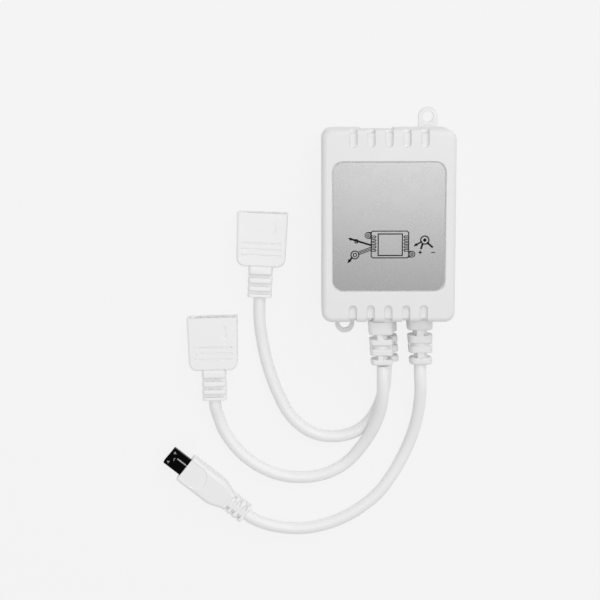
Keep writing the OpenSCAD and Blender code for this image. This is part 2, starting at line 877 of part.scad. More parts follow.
module socket_body() {
    inset = socket_taper;
    color(pvc_white)
        difference() {
            union() {
                translate([0, socket_relief_l, socket_z])
                    rotate([0, 0, 180])
                        ribbed_relief(
                            [socket_relief_w, socket_relief_h], [socket_relief_w, socket_relief_h],
                            socket_relief_l, socket_rib_shares, [false, false, false],
                            relief_core_d, socket_relief_h - 2 * socket_groove, 0);
                intersection() {
                    translate([0, socket_relief_l, socket_z])
                        bar(socket_w, socket_t, socket_l, socket_edge_r);
                    linear_extrude(socket_t) {
                        r = socket_corner_r;
                        translate([0, socket_relief_l])
                            polygon([
                                [r + inset - socket_w / 2, 0], [socket_w / 2 - inset - r, 0],
                                [socket_w / 2 - inset, r], [socket_w / 2, socket_l],
                                [-socket_w / 2, socket_l], [inset - socket_w / 2, r]
                            ]);
                        for (side = [-1, 1])
                            translate([side * (socket_w / 2 - inset - r), socket_relief_l + r])
                                circle(r);
                    }
                }
            }
            translate([-insert_w / 2 - fit, mouth_y - insert_l - insert_sink - fit, socket_z - insert_h / 2 - fit])
                cube([insert_w + 2 * fit, insert_l + insert_sink + fit + over, insert_h + 2 * fit]);
            for (i = [0:grip_n - 1])
                translate([
                    -grip_l / 2,
                    socket_relief_l + grip_from_rear + i * grip_pitch,
                    socket_t - grip_depth
                ])
                    cube([grip_l, grip_w, grip_depth + over]);
        }
}

module at_contacts() {
    for (i = [0:contact_n - 1])
        translate([(i - (contact_n - 1) / 2) * contact_pitch, mouth_y - insert_sink, socket_z])
            rotate([90, 0, 0])
                children();
}

module socket_insert() {
    color(abs_white)
        difference() {
            translate([-insert_w / 2, mouth_y - insert_l - insert_sink, socket_z - insert_h / 2])
                cube([insert_w, insert_l, insert_h]);
            at_contacts() {
                translate([0, 0, -over])
                    cylinder(h = contact_l + over, d = contact_hole_d);
                translate([0, 0, contact_front])
                    cylinder(h = contact_l, d = contact_d + 2 * running);
            }
        }
}

module socket_contacts() {
    color(brass_gold)
        at_contacts()
            translate([0, 0, contact_front + running])
                difference() {
                    cylinder(h = contact_l - running, d = contact_d);
                    translate([0, 0, -over])
                        cylinder(h = contact_l, d = contact_hole_d);
                }
}

module as_upper_socket() {
    translate(upper_socket_pos)
        rotate([0, 0, upper_socket_turn])
            children();
}

module as_lower_socket() {
    translate(lower_socket_pos)
        rotate([0, 0, lower_socket_turn])
            children();
}

module upper_socket_body() {
    as_upper_socket()
        socket_body();
}

module upper_socket_insert() {
    as_upper_socket()
        socket_insert();
}

module upper_socket_contacts() {
    as_upper_socket()
        socket_contacts();
}

module lower_socket_body() {
    as_lower_socket()
        socket_body();
}

module lower_socket_insert() {
    as_lower_socket()
        socket_insert();
}

module lower_socket_contacts() {
    as_lower_socket()
        socket_contacts();
}

// Receiver plug: its frame starts where the lead enters, with +Y towards the tip
taper_y = plug_relief_l;
straight_y = taper_y + plug_taper_l;
front_y = straight_y + plug_straight_l;
tip_y = front_y + shell_l;
taper_steps = 10;

function eased(t) = sin(90 * t);
function plug_side(from, to) = [
    for (k = [0:taper_steps])
        [mix(from, to, eased(k / taper_steps)) / 2, taper_y + plug_taper_l * k / taper_steps]
];
function mirrored_back(side) = [for (k = [len(side) - 1:-1:0]) [-side[k][0], side[k][1]]];

// Closed outline that widens along the taper and then runs straight to the front
module plug_outline(from, to) {
    side = plug_side(from, to);
    polygon(concat(side, [[to / 2, front_y], [-to / 2, front_y]], mirrored_back(side)));
}

module as_plug() {
    translate(plug_pos)
        rotate([0, 0, plug_turn])
            children();
}

module plug_body() {
    color(pvc_white)
        as_plug()
            difference() {
                union() {
                    translate([0, plug_relief_l, plug_z])
                        rotate([0, 0, 180])
                            ribbed_relief(
                                [plug_relief_w, plug_relief_h], [plug_relief_w, plug_relief_h],
                                plug_relief_l, plug_rib_shares, [true, true, true],
                                relief_core_d, relief_web, 0);
                    intersection() {
                        linear_extrude(plug_t)
                            plug_outline(plug_relief_w, plug_w);
                        translate([0, 0, plug_z])
                            rotate([0, -90, 0])
                                linear_extrude(plug_w, center = true)
                                    plug_outline(plug_relief_h, plug_t);
                        translate([0, 0, plug_z])
                            bar(plug_w, plug_t, front_y, plug_edge_r);
                    }
                }
                translate([-shell_w / 2 - running, front_y - shell_buried - fit, plug_z - shell_h / 2 - running])
                    cube([shell_w + 2 * running, shell_buried + fit + over, shell_h + 2 * running]);
                translate([0, front_y - thumb_from_front, plug_t - thumb_depth])
                    linear_extrude(thumb_depth + over) {
                        circle(thumb_r);
                        translate([-thumb_r, 0])
                            square([2 * thumb_r, thumb_from_front + over]);
                    }
            }
}

// Cross-section of the metal shell, with its two lower corners cut
module shell_section(inset) {
    w = shell_w / 2 - inset;
    h = shell_h / 2 - inset;
    polygon([
        [-w, h], [w, h], [w, shell_chamfer - h],
        [w - shell_chamfer, -h], [shell_chamfer - w, -h], [-w, shell_chamfer - h]
    ]);
}

module at_barbs() {
    for (side = [-1, 1])
        translate([side * latch_x, tip_y - barb_back - barb_l, plug_z + shell_h / 2 - shell_t])
            children();
}

module plug_shell() {
    color(metal_black)
        as_plug()
            difference() {
                translate([0, tip_y, plug_z])
                    rotate([90, 0, 0])
                        linear_extrude(shell_l + shell_buried)
                            difference() {
                                shell_section(0);
                                shell_section(shell_t);
                            }
                at_barbs()
                    translate([-latch_w / 2 - window_gap, -window_gap, -shell_t])
                        cube([latch_w + 2 * window_gap, barb_l + 2 * window_gap, 3 * shell_t]);
            }
}

// Insulating tongue: a root that fills the shell's rear up to the latch, and a thin blade under the contacts
tongue_z = plug_z - shell_h / 2 + shell_t + fit;
root_top = plug_z + shell_h / 2 - shell_t - fit - latch_t;
blade_top = tongue_z + tongue_t;

module plug_tongue() {
    blade_w = shell_w - 2 * (shell_t + shell_chamfer);
    root_y = front_y - shell_buried;
    color(plastic_black)
        as_plug() {
            intersection() {
                translate([0, front_y, plug_z])
                    rotate([90, 0, 0])
                        linear_extrude(shell_buried)
                            shell_section(shell_t + fit);
                translate([-shell_w / 2, root_y, 0])
                    cube([shell_w, shell_buried, root_top]);
            }
            translate([-blade_w / 2, root_y, tongue_z])
                cube([blade_w, tongue_l, tongue_t]);
        }
}

module plug_contacts() {
    color(brass_gold)
        as_plug()
            for (i = [0:plug_contact_n - 1])
                translate([
                    (i - (plug_contact_n - 1) / 2) * plug_contact_pitch - plug_contact_w / 2,
                    front_y + fit,
                    blade_top
                ])
                    cube([plug_contact_w, plug_contact_l, plug_contact_t]);
}

// Latch: a root strip on the tongue's root, and two arms that end in barbs through the shell's windows
latch_z = root_top + fit / 2;
latch_y = front_y - latch_root_l;

module plug_latch() {
    span = 2 * latch_x + latch_w;
    barb_top = plug_z + shell_h / 2 + barb_rise;
    color(metal_black)
        as_plug() {
            translate([-span / 2, latch_y, latch_z])
                cube([span, latch_root_l, latch_t]);
            for (side = [-1, 1])
                translate([side * latch_x - latch_w / 2, latch_y, latch_z]) {
                    cube([latch_w, tip_y - barb_back - latch_y, latch_t]);
                    translate([0, tip_y - barb_back - barb_l - latch_y, 0])
                        rotate([90, 0, 90])
                            linear_extrude(latch_w)
                                polygon([[0, 0], [barb_l, 0], [0, barb_top - latch_z]]);
                }
        }
}

base_shell();
top_cover();
label_plate();
circuit_board();
jack_housing();
jack_pin();
jack_spring();
control_chip();
memory_chip();
voltage_regulator();
power_transistor(0);  // transistor_1
power_transistor(1);  // transistor_2
power_transistor(2);  // transistor_3
smoothing_capacitor();
input_diode();
chip_resistors();
chip_capacitors();
solder_joints();
upper_strain_relief();
lower_strain_relief();
receiver_strain_relief();
upper_wires();
lower_wires();
receiver_wires();
upper_cord();
lower_cord();
receiver_cord();
upper_socket_body();
upper_socket_insert();
upper_socket_contacts();
lower_socket_body();
lower_socket_insert();
lower_socket_contacts();
plug_body();
plug_shell();
plug_tongue();
plug_contacts();
plug_latch();
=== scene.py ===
import math

import bmesh
import bpy
from bpy.props import FloatProperty, FloatVectorProperty, IntProperty, PointerProperty
from mathutils import Matrix, Vector
from mathutils.geometry import interpolate_bezier


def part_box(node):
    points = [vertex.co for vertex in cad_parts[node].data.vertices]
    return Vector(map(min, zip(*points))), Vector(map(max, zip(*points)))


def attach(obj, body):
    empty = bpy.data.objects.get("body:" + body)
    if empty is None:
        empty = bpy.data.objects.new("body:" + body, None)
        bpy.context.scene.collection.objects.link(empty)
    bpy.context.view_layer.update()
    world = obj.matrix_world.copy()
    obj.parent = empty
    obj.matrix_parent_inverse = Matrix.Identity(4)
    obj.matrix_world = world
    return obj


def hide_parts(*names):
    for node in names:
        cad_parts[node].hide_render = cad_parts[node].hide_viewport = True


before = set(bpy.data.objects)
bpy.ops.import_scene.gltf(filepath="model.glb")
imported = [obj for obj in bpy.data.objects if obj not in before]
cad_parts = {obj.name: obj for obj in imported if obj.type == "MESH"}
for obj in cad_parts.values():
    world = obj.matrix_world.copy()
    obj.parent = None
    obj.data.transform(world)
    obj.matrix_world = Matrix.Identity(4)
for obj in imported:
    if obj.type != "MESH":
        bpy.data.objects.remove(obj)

bl_info = {
    "name": "LED strip controller",
    "version": (1, 0, 0),
    "blender": (4, 5, 0),
    "location": "3D View > Sidebar > Controller",
    "description": "Dresses the packed LED strip controller with its moulded pieces, leads and finishes",
    "category": "Object",
}

MM = 0.001
# Points closer than MERGE become one, and faces and edges are found by their place to within NEAR
MERGE = 0.0005 * MM
NEAR = 0.01 * MM
# How far a cutting tool stands past what it cuts
OVER = 1 * MM
# Edges that turn by more than this stay sharp in the shading
CREASE = math.radians(35)
# On the board: from its edges to its posts, from pin to pin of a chip, and from pad to pad of a lead
POST_INSET = 3 * MM
PIN_PITCH = 1.27 * MM
PAD_PITCH = 2.54 * MM

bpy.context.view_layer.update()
COVER_LOW, COVER_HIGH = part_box("top_cover")
LABEL_LOW, LABEL_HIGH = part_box("label_plate")


def linear(hex_colour):
    """Linear RGBA of an sRGB hex colour."""
    digits = hex_colour.lstrip("#")
    channels = [int(digits[i:i + 2], 16) / 255 for i in (0, 2, 4)]
    return tuple(c / 12.92 if c <= 0.04045 else ((c + 0.055) / 1.055) ** 2.4 for c in channels) + (1.0,)


# Sizes and colours that a user may change


class HousingSizes(bpy.types.PropertyGroup):
    """Sizes of the base, its ears and the top cover"""

    width: FloatProperty(
        name="Width", description="Width of the housing", default=COVER_HIGH[0] - COVER_LOW[0], unit="LENGTH")
    length: FloatProperty(
        name="Length", description="Length between the end walls", default=COVER_HIGH[1] - COVER_LOW[1],
        unit="LENGTH")
    height: FloatProperty(
        name="Height", description="Height of the closed housing", default=COVER_HIGH[2], unit="LENGTH")
    split: FloatProperty(
        name="Parting line", description="Height of the parting line", default=COVER_LOW[2], unit="LENGTH")
    wall: FloatProperty(name="Wall", description="Thickness of the walls", default=1.8 * MM, unit="LENGTH")
    floor: FloatProperty(
        name="Floor", description="Thickness of the base's floor", default=1.8 * MM, unit="LENGTH")
    top: FloatProperty(name="Top", description="Thickness of the cover's top", default=2 * MM, unit="LENGTH")
    corner: FloatProperty(
        name="Corners", description="Radius of the upright corners", default=3.4 * MM, unit="LENGTH")
    edge: FloatProperty(
        name="Top edge", description="Rounding of the top edges", default=1.8 * MM, unit="LENGTH")
    lip_height: FloatProperty(
        name="Lip height", description="Height of the base's lip", default=1.2 * MM, unit="LENGTH")
    lip: FloatProperty(name="Lip", description="Thickness of the base's lip", default=0.8 * MM, unit="LENGTH")
    ear_x: FloatProperty(
        name="Ear", description="Distance of an ear from the long axis", default=14.1 * MM, unit="LENGTH")
    ear_reach: FloatProperty(
        name="Ear reach", description="Distance of an ear's hole from its end wall", default=3.5 * MM,
        unit="LENGTH")
    ear_radius: FloatProperty(
        name="Ear radius", description="Radius of an ear", default=3.3 * MM, unit="LENGTH")
    ear_thickness: FloatProperty(
        name="Ear thickness", description="Thickness of an ear", default=2 * MM, unit="LENGTH")
    ear_hole: FloatProperty(
        name="Ear hole", description="Diameter of an ear's hole", default=3.6 * MM, unit="LENGTH")
    groove_count: IntProperty(name="Grooves", description="Vent grooves at each end", default=5, min=1, max=6)
    groove_width: FloatProperty(
        name="Groove width", description="Width of a groove", default=2.6 * MM, unit="LENGTH")
    groove_pitch: FloatProperty(
        name="Groove pitch", description="Distance from groove to groove", default=5.9 * MM, unit="LENGTH")
    groove_run: FloatProperty(
        name="Groove run", description="Length of a groove on the top", default=5.8 * MM, unit="LENGTH")
    groove_drop: FloatProperty(
        name="Groove drop", description="Height of a groove on the end wall", default=4.5 * MM, unit="LENGTH")
    groove_depth: FloatProperty(
        name="Groove depth", description="Depth of a groove", default=1.25 * MM, unit="LENGTH")
    soft: FloatProperty(
        name="Mould radius", description="Small radius along the moulded edges", default=0.16 * MM,
        unit="LENGTH")


class LabelSizes(bpy.types.PropertyGroup):
    """Sizes of the foil label and its print"""

    width: FloatProperty(
        name="Width", description="Width of the label", default=LABEL_HIGH[0] - LABEL_LOW[0], unit="LENGTH")
    length: FloatProperty(
        name="Length", description="Length of the label", default=LABEL_HIGH[1] - LABEL_LOW[1], unit="LENGTH")
    corner: FloatProperty(name="Corners", description="Corner radius", default=3.3 * MM, unit="LENGTH")
    recess: FloatProperty(
        name="Recess", description="Depth of its recess in the cover", default=0.75 * MM, unit="LENGTH")
    stroke: FloatProperty(
        name="Stroke", description="Width of a printed line", default=0.33 * MM, unit="LENGTH")


class LeadSizes(bpy.types.PropertyGroup):
    """Sizes of the leads and of their strain reliefs at the housing"""

    diameter: FloatProperty(
        name="Diameter", description="Diameter of a lead", default=4.2 * MM, unit="LENGTH")
    core: FloatProperty(name="Core", description="Diameter of a relief's core", default=5 * MM, unit="LENGTH")
    pair_x: FloatProperty(
        name="Pair", description="Place of the stacked pair", default=-1.7 * MM, unit="LENGTH")
    single_x: FloatProperty(
        name="Single", description="Place of the single one", default=11.1 * MM, unit="LENGTH")
    width: FloatProperty(
        name="Flange", description="Width of a relief's flange inside the wall", default=9.1 * MM,
        unit="LENGTH")
    pitch: FloatProperty(
        name="Pitch", description="Height of one relief in the wall", default=7.6 * MM, unit="LENGTH")
    corner: FloatProperty(
        name="Rounding", description="Rounding along a rib's edges", default=1.2 * MM, unit="LENGTH")
    soft: FloatProperty(
        name="Mould radius", description="Small radius where ribs meet the core", default=0.18 * MM,
        unit="LENGTH")
    wire: FloatProperty(
        name="Conductor", description="Diameter of a conductor", default=1.2 * MM, unit="LENGTH")


class SocketSizes(bpy.types.PropertyGroup):
    """Sizes of the two flat sockets"""

    width: FloatProperty(name="Width", description="Width of the body", default=17.3 * MM, unit="LENGTH")
    length: FloatProperty(name="Length", description="Length of the body", default=18.4 * MM, unit="LENGTH")
    thickness: FloatProperty(
        name="Thickness", description="Thickness of the body", default=7.4 * MM, unit="LENGTH")
    corner: FloatProperty(
        name="Corners", description="Radius of the rear corners", default=2.8 * MM, unit="LENGTH")
    edge: FloatProperty(
        name="Edges", description="Rounding along the edges", default=0.75 * MM, unit="LENGTH")
    relief: FloatProperty(
        name="Relief", description="Length of its strain relief", default=10.8 * MM, unit="LENGTH")


class PlugSizes(bpy.types.PropertyGroup):
    """Sizes of the receiver plug"""

    width: FloatProperty(
        name="Width", description="Width of the moulded body", default=10.4 * MM, unit="LENGTH")
    thickness: FloatProperty(
        name="Thickness", description="Thickness of the body", default=6.6 * MM, unit="LENGTH")
    relief: FloatProperty(
        name="Relief", description="Length of its strain relief", default=8.3 * MM, unit="LENGTH")
    shell_width: FloatProperty(
        name="Shell width", description="Width of the metal shell", default=6.8 * MM, unit="LENGTH")
    shell_height: FloatProperty(
        name="Shell height", description="Height of the metal shell", default=2.1 * MM, unit="LENGTH")
    shell_reach: FloatProperty(
        name="Shell reach", description="Length of the shell in front of the body", default=7.3 * MM,
        unit="LENGTH")


class Finishes(bpy.types.PropertyGroup):
    """Colours of the finishes"""

    abs_colour: FloatVectorProperty(
        name="ABS", description="Moulded ABS of the housing", subtype="COLOR", size=4,
        default=linear("#EEEEEE"))
    pvc_colour: FloatVectorProperty(
        name="PVC", description="PVC of leads, sockets and plug", subtype="COLOR", size=4,
        default=linear("#FAFAFA"))
    # The strain reliefs' PVC is a little greyer than the leads' as painted shade, for the housing's shadow on
    # them
    relief_colour: FloatVectorProperty(
        name="Relief PVC", description="PVC of the strain reliefs, greyer as painted shade", subtype="COLOR", size=4,
        default=linear("#F0F0F0"))
    foil_colour: FloatVectorProperty(
        name="Foil", description="Silver film of the label", subtype="COLOR", size=4,
        default=linear("#878787"))
    ink_colour: FloatVectorProperty(
        name="Ink", description="Printed lines of the label", subtype="COLOR", size=4,
        default=linear("#161616"))
    laminate_colour: FloatVectorProperty(
        name="Laminate", description="Solder mask of the circuit board", subtype="COLOR", size=4,
        default=linear("#1C6A3C"))
    black_colour: FloatVectorProperty(
        name="Black plastic", description="Moulded black plastic", subtype="COLOR", size=4,
        default=linear("#1B1B1C"))
    shell_colour: FloatVectorProperty(
        name="Plug shell", description="Black-plated steel of the plug", subtype="COLOR", size=4,
        default=linear("#0C0C0D"))


class StageSettings(bpy.types.PropertyGroup):
    """Light and backdrop"""

    backdrop: FloatVectorProperty(
        name="Backdrop", description="Colour of floor and backdrop", subtype="COLOR", size=4,
        default=linear("#F6F6F6"))
    overhead: FloatProperty(
        name="Overhead", description="Power of the overhead softbox", default=1.95, unit="POWER")
    key: FloatProperty(
        name="Key", description="Power of the softbox beyond the inlet", default=2.4, unit="POWER")
    fill: FloatProperty(
        name="Fill", description="Strength of the light from all round", default=0.54, min=0.0)


class ControllerSettings(bpy.types.PropertyGroup):
    """All settings of the controller"""

    housing: PointerProperty(type=HousingSizes, name="Housing", description="Sizes of the housing")
    label: PointerProperty(type=LabelSizes, name="Label", description="Sizes of the label")
    lead: PointerProperty(type=LeadSizes, name="Leads", description="Sizes of the leads")
    socket: PointerProperty(type=SocketSizes, name="Sockets", description="Sizes of the sockets")
    plug: PointerProperty(type=PlugSizes, name="Plug", description="Sizes of the plug")
    finish: PointerProperty(type=Finishes, name="Finishes", description="Colours of the finishes")
    stage: PointerProperty(type=StageSettings, name="Stage", description="Light and backdrop")


# Mesh helpers


def round_off(bm, edges, radius, segments):
    """Round a list of edges."""
    bmesh.ops.bevel(
        bm, geom=list(edges), offset=radius, offset_type="OFFSET", segments=segments, profile=0.5,
        affect="EDGES", material=-1, clamp_overlap=False)


def runs_along(edge, axis):
    """True where an edge runs along an axis."""
    return abs((edge.verts[0].co - edge.verts[1].co).normalized()[axis]) > 0.999


def is_sharp(edge, least=40):
    """True where two faces meet at more than a given angle, in degrees."""
    return edge.is_manifold and edge.calc_face_angle() > math.radians(least)


def round_sharp(bm, radius, segments, least=40):
    """Round all the sharp edges."""
    round_off(bm, [e for e in bm.edges if is_sharp(e, least)], radius, segments)


def block(low, high, axis=2, corner=0.0, rim=0.0, segments=6, rim_segments=3):
    """A box whose edges along one axis are rounded, and then the edges round its two ends."""
    bm = bmesh.new()
    bmesh.ops.create_cube(bm, size=1.0)
    low, high = Vector(low), Vector(high)
    bmesh.ops.scale(bm, vec=high - low, verts=bm.verts)
    bmesh.ops.translate(bm, vec=(high + low) / 2, verts=bm.verts)
    if corner:
        round_off(bm, [e for e in bm.edges if runs_along(e, axis)], corner, segments)
    if rim:
        round_sharp(bm, rim, rim_segments)
    return bm


def upright_to(axis):
    """Matrix that turns the upright axis onto Y, for axis 1, or leaves it, for axis 2."""
    return Matrix.Rotation(-math.pi / 2, 4, "X") if axis == 1 else Matrix.Identity(4)


def rod(centre, radius, depth, axis=2, segments=48):
    """A cylinder centred on a point, along the upright axis or Y."""
    bm = bmesh.new()
    bmesh.ops.create_cone(
        bm, cap_ends=True, cap_tris=False, segments=segments, radius1=radius, radius2=radius, depth=depth,
        matrix=Matrix.Translation(centre) @ upright_to(axis))
    return bm


def wedge(centre, foot, crest, depth, turn):
    """A three-cornered block with its own radius at foot and crest, turned about the upright axis."""
    bm = bmesh.new()
    bmesh.ops.create_cone(
        bm, cap_ends=True, cap_tris=False, segments=3, radius1=foot, radius2=crest, depth=depth,
        matrix=Matrix.Translation(centre) @ Matrix.Rotation(turn, 4, "Z"))
    return bm


def turned(profile, centre, axis=2, steps=32):
    """A turned form: a line of points (radius, height), spun round an axis through a centre."""
    bm = bmesh.new()
    line = [bm.verts.new((radius, 0, height)) for radius, height in profile]
    edges = [bm.edges.new(pair) for pair in zip(line[:-1], line[1:])]
    bmesh.ops.spin(
        bm, geom=line + edges, cent=(0, 0, 0), axis=(0, 0, 1), dvec=(0, 0, 0), angle=2 * math.pi, steps=steps,
        use_merge=True, use_normal_flip=False, use_duplicate=False)
    bmesh.ops.remove_doubles(bm, verts=bm.verts, dist=MERGE)
    bmesh.ops.transform(bm, matrix=Matrix.Translation(centre) @ upright_to(axis), verts=bm.verts)
    return bm


def new_object(name, data):
    """An object in the scene that shows a mesh, a curve, a lamp or a camera."""
    item = bpy.data.objects.new(name, data)
    bpy.context.scene.collection.objects.link(item)
    return item


def evaluated(item):
    """An object's mesh as its curve or its modifiers make it."""
    made = bpy.data.meshes.new_from_object(item.evaluated_get(bpy.context.evaluated_depsgraph_get()))
    bm = bmesh.new()
    bm.from_mesh(made)
    bpy.data.meshes.remove(made)
    return bm


def tube(points, radius, roundness=3):
    """A round tube with closed ends along a line of points."""
    line = bpy.data.curves.new("tube_line", "CURVE")
    line.dimensions = "3D"
    line.bevel_depth = radius
    line.bevel_resolution = roundness
    line.use_fill_caps = True
    spline = line.splines.new("POLY")
    spline.points.add(len(points) - 1)
    for point, place in zip(spline.points, points):
        point.co = (*place, 1)
    holder = new_object("tube_line", line)
    bm = evaluated(holder)
    bpy.data.objects.remove(holder)
    bpy.data.curves.remove(line)
    return bm


def strip(points, width, thick):
    """A flat strip of metal along points (y, z), centred on x = 0."""
    bm = bmesh.new()
    line = [bm.verts.new((-width / 2, y, z)) for y, z in points]
    edges = [bm.edges.new(pair) for pair in zip(line[:-1], line[1:])]
    drawn = bmesh.ops.extrude_edge_only(bm, edges=edges)["geom"]
    bmesh.ops.translate(bm, vec=(width, 0, 0), verts=[g for g in drawn if isinstance(g, bmesh.types.BMVert)])
    bmesh.ops.recalc_face_normals(bm, faces=bm.faces)
    bmesh.ops.solidify(bm, geom=bm.faces[:], thickness=thick)
    return bm


def split_at(bm, point, across):
    """Give the faces that a plane crosses an edge there; nothing is taken away."""
    bmesh.ops.bisect_plane(
        bm, geom=bm.verts[:] + bm.edges[:] + bm.faces[:], plane_co=point, plane_no=across)


def case(low, high, slope, radius=0.08 * MM):
    """A moulded package: its sides slope in from a parting line at half height."""
    bm = block(low, high)
    middle = (Vector(low) + Vector(high)) / 2
    split_at(bm, middle, (0, 0, 1))
    for vert in bm.verts:
        if abs(vert.co.z - middle.z) > NEAR:
            vert.co.x -= math.copysign(slope, vert.co.x - middle.x)
            vert.co.y -= math.copysign(slope, vert.co.y - middle.y)
    round_sharp(bm, radius, 2)
    return bm


def placed(x, y, turn):
    """Matrix that puts a piece's own frame at a point, turned about the upright axis."""
    return Matrix.Translation((x, y, 0)) @ Matrix.Rotation(math.radians(turn), 4, "Z")


def moved(bm, x=0.0, y=0.0, z=0.0, turn=0.0):
    """The mesh, turned about the upright axis and then moved."""
    bmesh.ops.transform(bm, matrix=Matrix.Translation((0, 0, z)) @ placed(x, y, turn), verts=bm.verts)
    return bm


def painted(bm, index):
    """The mesh, with all its faces given a material by its place in the piece's list."""
    for face in bm.faces:
        face.material_index = index
    return bm


def bars(points, width, low, high):
    """Flat bars through points in millimetres, from one height to another."""
    parts = []
    lap = 0.35 * width
    for a, b in zip(points[:-1], points[1:]):
        a, b = Vector(a) * MM, Vector(b) * MM
        bar = block((-lap, -width / 2, low), ((b - a).length + lap, width / 2, high))
        parts.append(moved(bar, a.x, a.y, turn=math.degrees(math.atan2(b.y - a.y, b.x - a.x))))
    return parts


def ring(centre, radius, width, low, high, steps=28):
    """A flat ring round a centre; centre and radius in millimetres."""
    inner, outer = radius * MM - width / 2, radius * MM + width / 2
    profile = [(inner, low), (outer, low), (outer, high), (inner, high), (inner, low)]
    return turned(profile, (centre[0] * MM, centre[1] * MM, 0), steps=steps)


def outline(low, high, corner, width, bottom, top):
    """Flat bars round a rectangle with cut corners; its size in millimetres."""
    (x0, y0), (x1, y1), c = low, high, corner
    points = [
        (x0 + c, y0), (x1 - c, y0), (x1, y0 + c), (x1, y1 - c), (x1 - c, y1), (x0 + c, y1), (x0, y1 - c),
        (x0, y0 + c), (x0 + c, y0)]
    return bars(points, width, bottom, top)


def spread(count, pitch):
    """Places of a row of like things, centred on zero."""
    return [(k - (count - 1) / 2) * pitch for k in range(count)]


def corners(node, unit=1.0):
    """The two far corners of a CAD node's box, in metres or in another unit."""
    return [Vector(corner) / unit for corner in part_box(node)]


def gather(parts):
    """One mesh that holds several; the parts are freed."""
    whole = bmesh.new()
    for part in parts:
        passing = bpy.data.meshes.new("passing")
        part.to_mesh(passing)
        part.free()
        whole.from_mesh(passing)
        bpy.data.meshes.remove(passing)
    return whole


def combine(body, tool, operation="DIFFERENCE", tangled=False):
    """Cut, join or intersect two meshes; both are freed and the result is returned.

    tangled: the solids within one of them lie in each other
    """
    objects = []
    for name, part in (("body", body), ("tool", tool)):
        bmesh.ops.recalc_face_normals(part, faces=part.faces)
        passing = bpy.data.meshes.new(name)
        part.to_mesh(passing)
        part.free()
        objects.append(new_object(name, passing))
    step = objects[0].modifiers.new("combine", "BOOLEAN")
    step.object = objects[1]
    step.operation = operation
    step.solver = "EXACT"
    step.use_self = tangled
    result = evaluated(objects[0])
    for part in objects:
        mesh = part.data
        bpy.data.objects.remove(part)
        bpy.data.meshes.remove(mesh)
    if not result.faces:
        raise RuntimeError("a boolean left nothing")
    return result


def soften(bm, radius, segments=2, least=40, chosen=None):
    """Merge flat faces and give the sharp edges, or the chosen ones among them, a small radius."""
    bmesh.ops.remove_doubles(bm, verts=bm.verts, dist=4 * MERGE)
    bmesh.ops.dissolve_limit(bm, angle_limit=math.radians(0.8), verts=bm.verts, edges=bm.edges)
    edges = [e for e in bm.edges if is_sharp(e, least) and (chosen is None or chosen(e))]
    round_off(bm, edges, radius, segments)
    return bm


def push(bm, face, inset=0.0, rise=0.0):
    """Inset a level face, then move it up or down with new walls; returns the face."""
    if inset:
        bmesh.ops.inset_region(bm, faces=[face], thickness=inset, use_even_offset=True)
    if rise:
        face = bmesh.ops.extrude_discrete_faces(bm, faces=[face])["faces"][0]
        bmesh.ops.translate(bm, vec=(0, 0, rise), verts=face.verts)
    return face


def level_face(bm, z):
    """The level face at a height."""
    return next(
        f for f in bm.faces if abs(f.normal.z) > 0.99 and abs(f.calc_center_median().z - z) < NEAR / 10)


def make_piece(name, bm, materials, body, slot, *stands_for):
    """Turn a mesh into a named piece that rides on a body."""
    bmesh.ops.remove_doubles(bm, verts=bm.verts, dist=MERGE)
    bmesh.ops.recalc_face_normals(bm, faces=bm.faces)
    mesh = bpy.data.meshes.new(name)
    bm.to_mesh(mesh)
    bm.free()
    for material in materials:
        mesh.materials.append(material)
    for face in mesh.polygons:
        face.use_smooth = True
    mesh.set_sharp_from_angle(angle=CREASE)
    piece = new_object(name, mesh)
    even = piece.modifiers.new("even_normals", "WEIGHTED_NORMAL")
    even.keep_sharp = True
    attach(piece, body)
    if stands_for:
        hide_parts(*stands_for)
    return piece


# Materials


def add_node(tree, kind, inputs=None, **settings):
    """Add a node; its inputs take values, or the outputs that feed them."""
    node = tree.nodes.new(kind)
    for name, value in settings.items():
        setattr(node, name, value)
    for socket, value in (inputs or {}).items():
        if isinstance(value, bpy.types.NodeSocket):
            tree.links.new(value, node.inputs[socket])
        else:
            node.inputs[socket].default_value = value
    return node


def new_material(name, **shader_inputs):
    """A material with one surface shader; returns it, its tree and the shader."""
    material = bpy.data.materials.new(name)
    material.use_nodes = True
    tree = material.node_tree
    tree.nodes.clear()
    shader = add_node(tree, "ShaderNodeBsdfPrincipled")
    for socket, value in shader_inputs.items():
        shader.inputs[socket.replace("_", " ").title().replace("Ior", "IOR")].default_value = value
    add_node(tree, "ShaderNodeOutputMaterial", {"Surface": shader.outputs["BSDF"]})
    return material, tree, shader


def mottle(tree, shader, colour, pitch, amount, rough, rough_amount):
    """Slightly uneven colour and gloss, in patches of a given size."""
    place = add_node(tree, "ShaderNodeTexCoord")
    patches = add_node(
        tree, "ShaderNodeTexNoise", {"Vector": place.outputs["Object"], "Scale": 1 / pitch, "Detail": 3.0})
    darker = tuple(c * (1 - amount) for c in colour[:3]) + (1.0,)
    shade = add_node(
        tree, "ShaderNodeMix", {"Factor": patches.outputs["Fac"], 6: colour, 7: darker}, data_type="RGBA")
    gloss = add_node(
        tree, "ShaderNodeMapRange",
        {"Value": patches.outputs["Fac"], "From Min": 0.3, "From Max": 0.7,
         "To Min": rough - rough_amount, "To Max": rough + rough_amount})
    tree.links.new(shade.outputs[2], shader.inputs["Base Color"])
    tree.links.new(gloss.outputs["Result"], shader.inputs["Roughness"])
    return place


def ridges(tree, shader, texture, height, strength):
    """Low relief that follows a texture node."""
    relief = add_node(
        tree, "ShaderNodeBump", {"Height": texture.outputs["Fac"], "Strength": strength, "Distance": height})
    tree.links.new(relief.outputs["Normal"], shader.inputs["Normal"])


def grain(tree, shader, place, pitch, height, strength):
    """Fine uneven surface, with grains of a given size."""
    bumps = add_node(
        tree, "ShaderNodeTexNoise", {"Vector": place.outputs["Object"], "Scale": 1 / pitch, "Detail": 2.0})
    ridges(tree, shader, bumps, height, strength)


